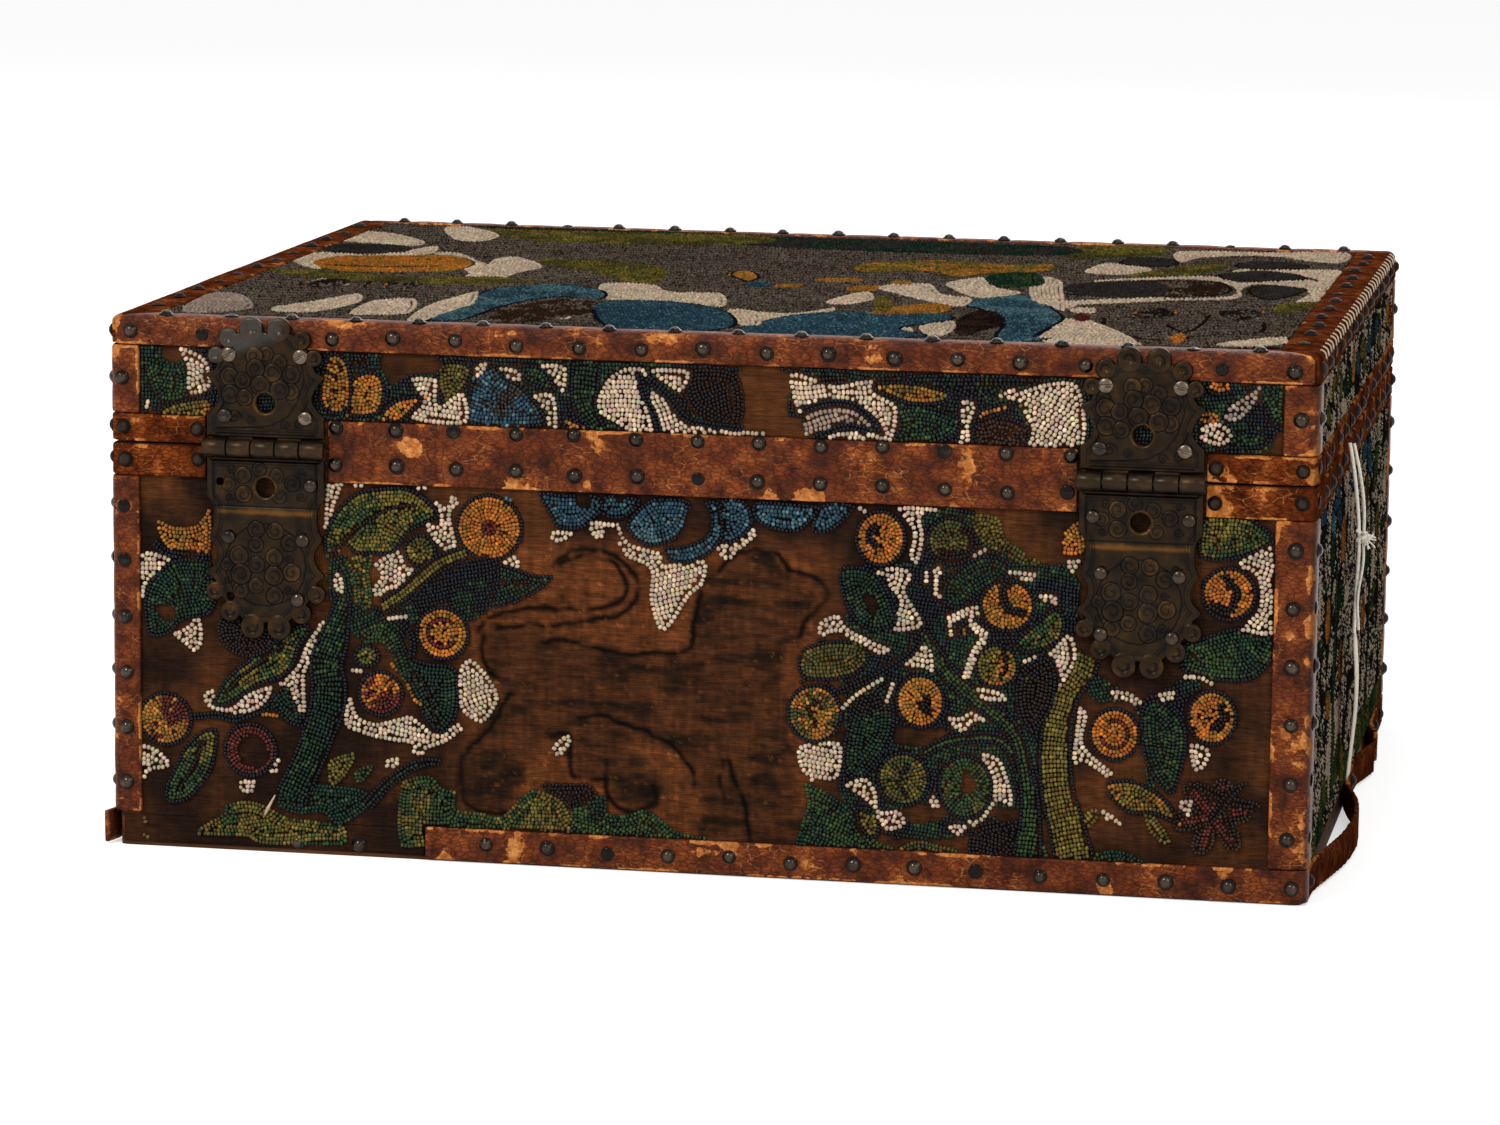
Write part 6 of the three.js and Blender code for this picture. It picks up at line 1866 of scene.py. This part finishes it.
def leaf_piece(body, side):
    """One engraved leaf of a hinge with its knuckles, and its screws or nails."""
    shape, x = LEAF_SHAPES[body], HINGES[side]
    tall, sign = shape["tall"], (1 if body == "lid" else -1)
    lost = (0, 4) if (body, side) == ("case", "left") else ()
    half = np.array([(a * HALF_LEAF, b * tall) for a, b in shape["outline"]])
    line = smooth_line(half, 0.6)
    corner = np.array([[0.99 * HALF_LEAF, LEAF_FOOT]])
    right = np.concatenate([corner, line])
    outline = np.concatenate([right, (right * (-1, 1))[::-1][1:]])
    petals = [(side_of * a * HALF_LEAF, b * tall, r * HALF_LEAF)
              for a, b, r in shape["petals"] for side_of in (1, -1)]
    eye = shape["eye"] * tall
    fixings = [(a * HALF_LEAF, b * tall) for a, b in shape["fixings"]]
    holes = [(0, eye, EYE)] + [(*fixings[k], NAIL_HOLE) for k in lost]

    def depth(p):
        d = line_distance(p, outline, True)
        for cx, cy, r in petals:
            d = np.maximum(d, r - np.hypot(p[:, 0] - cx, p[:, 1] - cy))
        for cx, cy, r in holes:
            d = np.minimum(d, np.hypot(p[:, 0] - cx, p[:, 1] - cy) - r)
        return d

    marks = {}

    def height(p, d):
        plate = line_distance(p, outline, True)
        h = np.full(len(p), LEAF_THICK)
        # shine becomes the brass colour: a painted sheen, lighter on raised parts, darker in the
        # cuts.
        shine = np.full(len(p), 0.42)
        for groove in [*shape["grooves"], *(spiral(*c) for c in shape["curls"])]:
            cut = np.exp(-(line_distance(p, groove) / 0.27) ** 2)
            h -= 0.26 * cut
            shine -= 0.4 * cut
        cut = np.exp(-((plate - 2.3) / 0.24) ** 2) + 0.6 * np.exp(-((plate - 3.2) / 0.24) ** 2)
        h -= 0.22 * cut
        shine -= 0.3 * cut
        h, shine = engrave_scales(shape["scales"], p, h, shine)
        if body == "case":
            up = ramp(plate, 0.7, 2.0) * ramp(24.8 - p[:, 1], 0.0, 1.8)
            h += 0.62 * up
            band = np.exp(-((p[:, 1] - 22.4) / 1.1) ** 2) * ramp(plate, 1, 2)
            h += 0.16 * band
            # Painted sheen along the raised band.
            shine += 0.4 * band
        h, shine = raise_petals(petals, tall, p, h, shine)
        rim = np.hypot(p[:, 0], p[:, 1] - eye)
        h -= 0.55 * np.clip(1 - (rim - EYE), 0, 1)
        # Painted sheen round the eye.
        shine = np.where(rim < EYE + 1.2, 0.6, shine)
        h -= 0.4 * np.clip(1 - d / 0.7, 0, 1) ** 2
        h += 0.05 * noise(np.column_stack([p, np.full(len(p), x)]), 3.0, 2)
        marks["relief"] = shine
        return h

    reach_up = max(b + r for _, b, r in petals) + 1
    points, faces, flat, n = relief_plate((-HALF_LEAF - 3, LEAF_FOOT), (HALF_LEAF + 3, reach_up),
                                          LEAF_PITCH, depth, height, 0.03)
    relief = marks["relief"]
    grey = np.zeros(n)
    if (body, side) == ("lid", "left"):
        s, t = points[:n, 0], points[:n, 1]
        worn = ramp(t - 0.35 * s, 34, 39) * ramp(-s, -9, -3)
        grey = np.clip(worn * (0.75 + 0.3 * noise(points[:n], 4, 2)), 0, 1)
    grey = np.maximum(grey, 0.05 * ramp(noise(points[:n] + x, 9, 2), 0.25, 0.6))
    plate = np.stack([x + points[:, 0], -HALF_Y - SKIN - points[:, 2],
                      SEAM_Z + sign * points[:, 1]], 1)
    if sign < 0:
        faces = faces[:, ::-1]
    parts, values, greys = [(plate, faces)], [relief, np.full(n, 0.3)], [grey, np.zeros(n)]
    flats = [flat]
    for k in range(KNUCKLES):
        if (k % 2 == 1) == (body == "lid"):
            v, f = knuckle(x, k, sign)
            parts.append((v, f))
            values.append(np.full(len(v), 0.5))
            greys.append(np.full(len(v), 0.1))
            flats.append(np.zeros(len(f), bool))
    node = f"hinge_{body}_leaf_{side}"
    leaf = joined_piece(node + "_engraved", parts, BRASS)
    leaf.data.polygons.foreach_set("use_smooth", ~np.concatenate(flats))
    put_values(leaf, "relief", np.concatenate(values))
    put_values(leaf, "grey", np.concatenate(greys))
    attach(leaf, body)
    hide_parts(node)
    fasteners(body, side, [p for k, p in enumerate(fixings) if k not in lost], tall)


def knuckle(x, k, sign):
    """One knuckle round the pin with its tongue under the leaf, bored through."""
    span = BARREL_LONG / KNUCKLES
    start = x - BARREL_LONG / 2 + span * k + (KNUCKLE_GAP / 2 if k else 0)
    end = x - BARREL_LONG / 2 + span * (k + 1) - (KNUCKLE_GAP / 2 if k < KNUCKLES - 1 else 0)
    a = np.linspace(-math.pi, 2.05, 30)
    outer = np.concatenate([np.stack([BARREL * np.cos(a), BARREL * np.sin(a)], 1),
                            [(-1.5, BARREL + 0.45), (-3.06, BARREL + 0.45)]])
    b = np.append(a, [2.5, 2.9])
    inner = np.stack([BORE * np.cos(b), BORE * np.sin(b)], 1)
    small = outer.copy()
    small[:len(a)] *= 1 - CHAMFER / BARREL
    loops = [(start, inner), (start, small), (start + CHAMFER, outer), (end - CHAMFER, outer),
             (end, small), (end, inner)]
    n = len(outer)
    verts = np.concatenate([np.column_stack([np.full(n, at), PIN_Y - loop[:, 0],
                                             SEAM_Z + sign * loop[:, 1]]) for at, loop in loops])
    faces = []
    j = np.arange(n)
    for m in range(len(loops)):
        p, q = m * n, (m + 1) % len(loops) * n
        faces.append(np.stack([p + j, p + (j + 1) % n, q + (j + 1) % n, q + j], 1))
    faces = np.concatenate(faces)
    return verts, (faces if sign > 0 else faces[:, ::-1])


def screw_head(radius):
    """A low dome with a slot, as points and faces."""
    def depth(p):
        return radius - np.hypot(p[:, 0], p[:, 1])

    def height(p, _):
        q = np.hypot(p[:, 0], p[:, 1]) / radius
        dome = 0.25 + 0.95 * np.sqrt(np.clip(1 - (0.96 * q) ** 2, 0, 1))
        cut = ramp(0.42 - np.abs(p[:, 1]), -0.08, 0.08)
        return dome - 0.62 * cut * ramp(dome, 0.3, 0.8)

    points, faces, _, _ = relief_plate((-radius - 0.4, -radius - 0.4),
                                       (radius + 0.4, radius + 0.4), 0.17, depth, height, -0.25)
    return points, faces


NAIL = lathe([(2.2, -0.4), (2.45, 0.05), (2.42, 0.35), (2.1, 0.8), (1.55, 1.15), (0.8, 1.38)], 20)


def fasteners(body, side, places, tall):
    """Slotted screws on a leaf of the lid, domed nails on one of the case."""
    x, face = HINGES[side], -HALF_Y - SKIN
    rng = np.random.default_rng(5 if side == "left" else 6)
    parts, tints = [], []
    for a, b in places:
        if body == "lid":
            far = b > tall / 2
            shape = screw_head(2.55 if far else 2.45)
            at = (x + a, face - 1.75, SEAM_Z + b)
            parts.append(placed(shape, at, (0, -1, 0), rng.uniform(-0.8, 0.8)))
            tints.append(np.full(len(shape[0]), 0.45 if far or a > 0 else -0.1))
        else:
            at = (x + a, face - (2.3 if b < 24 else 1.7), SEAM_Z - b)
            parts.append(placed(NAIL, at, (rng.normal(0, 0.04), -1, rng.normal(0, 0.04)), 0,
                                rng.uniform(0.95, 1.04)))
            tints.append(np.full(len(NAIL[0]), rng.uniform(0.3, 0.6)))
    heads = joined_piece(f"hinge_{body}_{side}_heads", parts, SCREW if body == "lid" else TACK)
    put_values(heads, "tint", np.concatenate(tints))
    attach(heads, body)


for hinge_side in HINGES:
    for hinge_body in ("lid", "case"):
        leaf_piece(hinge_body, hinge_side)
    wear_material("hinge_pin_" + hinge_side, STEEL)


# Boards and lining
for node_name in NODES:
    if node_name.endswith("_board"):
        wear_material(node_name, WOOD)
    elif node_name.endswith("_lining"):
        wear_material(node_name, CLOTH)


# Floor and light
def seen_directly(tree):
    """1 for rays from the camera, from gloss and through glass, and 0 for the light that falls."""
    path = tree.nodes.new("ShaderNodeLightPath")
    seen = path.outputs["Is Camera Ray"]
    for name in ("Is Glossy Ray", "Is Transmission Ray"):
        both = tree.nodes.new("ShaderNodeMath")
        both.operation, both.use_clamp = "ADD", True
        tree.links.new(seen, both.inputs[0])
        tree.links.new(path.outputs[name], both.inputs[1])
        seen = both.outputs[0]
    return seen


def shader(tree, kind, **inputs):
    node = tree.nodes.new("ShaderNode" + kind)
    for name, value in inputs.items():
        node.inputs[name].default_value = value
    return node


def seen_or_falling(tree, falling, seen):
    """A shader that is one thing for the light that falls and another where it is seen directly."""
    blend = tree.nodes.new("ShaderNodeMixShader")
    sources = seen_directly(tree), falling.outputs[0], seen.outputs[0]
    for socket, source in zip(blend.inputs, sources):
        tree.links.new(source, socket)
    return blend.outputs[0]


def make_floor():
    """A white floor that still takes the box's shadow."""
    material = bpy.data.materials.new("floor")
    material.use_nodes = True
    tree = material.node_tree
    plain = tree.nodes["Principled BSDF"]
    for name, value in (("Base Color", (0.86, 0.86, 0.86, 1)), ("Roughness", 0.9),
                        ("Specular IOR Level", 0.0)):
        plain.inputs[name].default_value = value
    glow = seen_or_falling(tree, shader(tree, "Emission", Strength=0.0),
                           shader(tree, "Emission", Strength=0.5))
    total = tree.nodes.new("ShaderNodeAddShader")
    tree.links.new(plain.outputs[0], total.inputs[0])
    tree.links.new(glow, total.inputs[1])
    tree.links.new(total.outputs[0], tree.nodes["Material Output"].inputs["Surface"])
    size = 6.0
    verts = [(-size, -size, 0), (size, -size, 0), (size, size, 0), (-size, size, 0)]
    floor = mesh_piece("floor", verts, [(0, 1, 2, 3)], material, smooth=False)


def make_world():
    """White where it is seen, and half as bright in the light that it casts."""
    world = bpy.data.worlds.new("world")
    world.use_nodes = True
    tree = world.node_tree
    white = (1, 1, 1, 1)
    blend = seen_or_falling(tree, shader(tree, "Background", Color=white, Strength=0.5),
                            shader(tree, "Background", Color=white, Strength=1.0))
    tree.links.new(blend, tree.nodes["World Output"].inputs["Surface"])
    bpy.context.scene.world = world


def area_light(name, place, target, size, power):
    """A round lamp aimed at a place."""
    data = bpy.data.lights.new(name, "AREA")
    data.shape, data.size, data.energy = "DISK", size, power
    lamp = link(bpy.data.objects.new(name, data))
    lamp.location = place
    aim = Vector(target) - Vector(place)
    lamp.rotation_euler = aim.to_track_quat("-Z", "Y").to_euler()


make_floor()
make_world()
# Each lamp in metres and watts: name, place, what it points at, size, power
for lamp in (("key", (-1.1, -1.9, 1.9), (0, -0.1, 0.08), 0.7, 34),
             ("fill", (1.5, -1.6, 1.2), (0.05, -0.1, 0.08), 1.2, 12),
             ("top", (0.1, 0.3, 2.2), (0, 0, 0.1), 1.4, 9),
             ("back", (0.6, 2.2, 1.6), (0, 0, 0.1), 1.2, 12)):
    area_light(*lamp)

bpy.context.scene.view_settings.view_transform = "Standard"
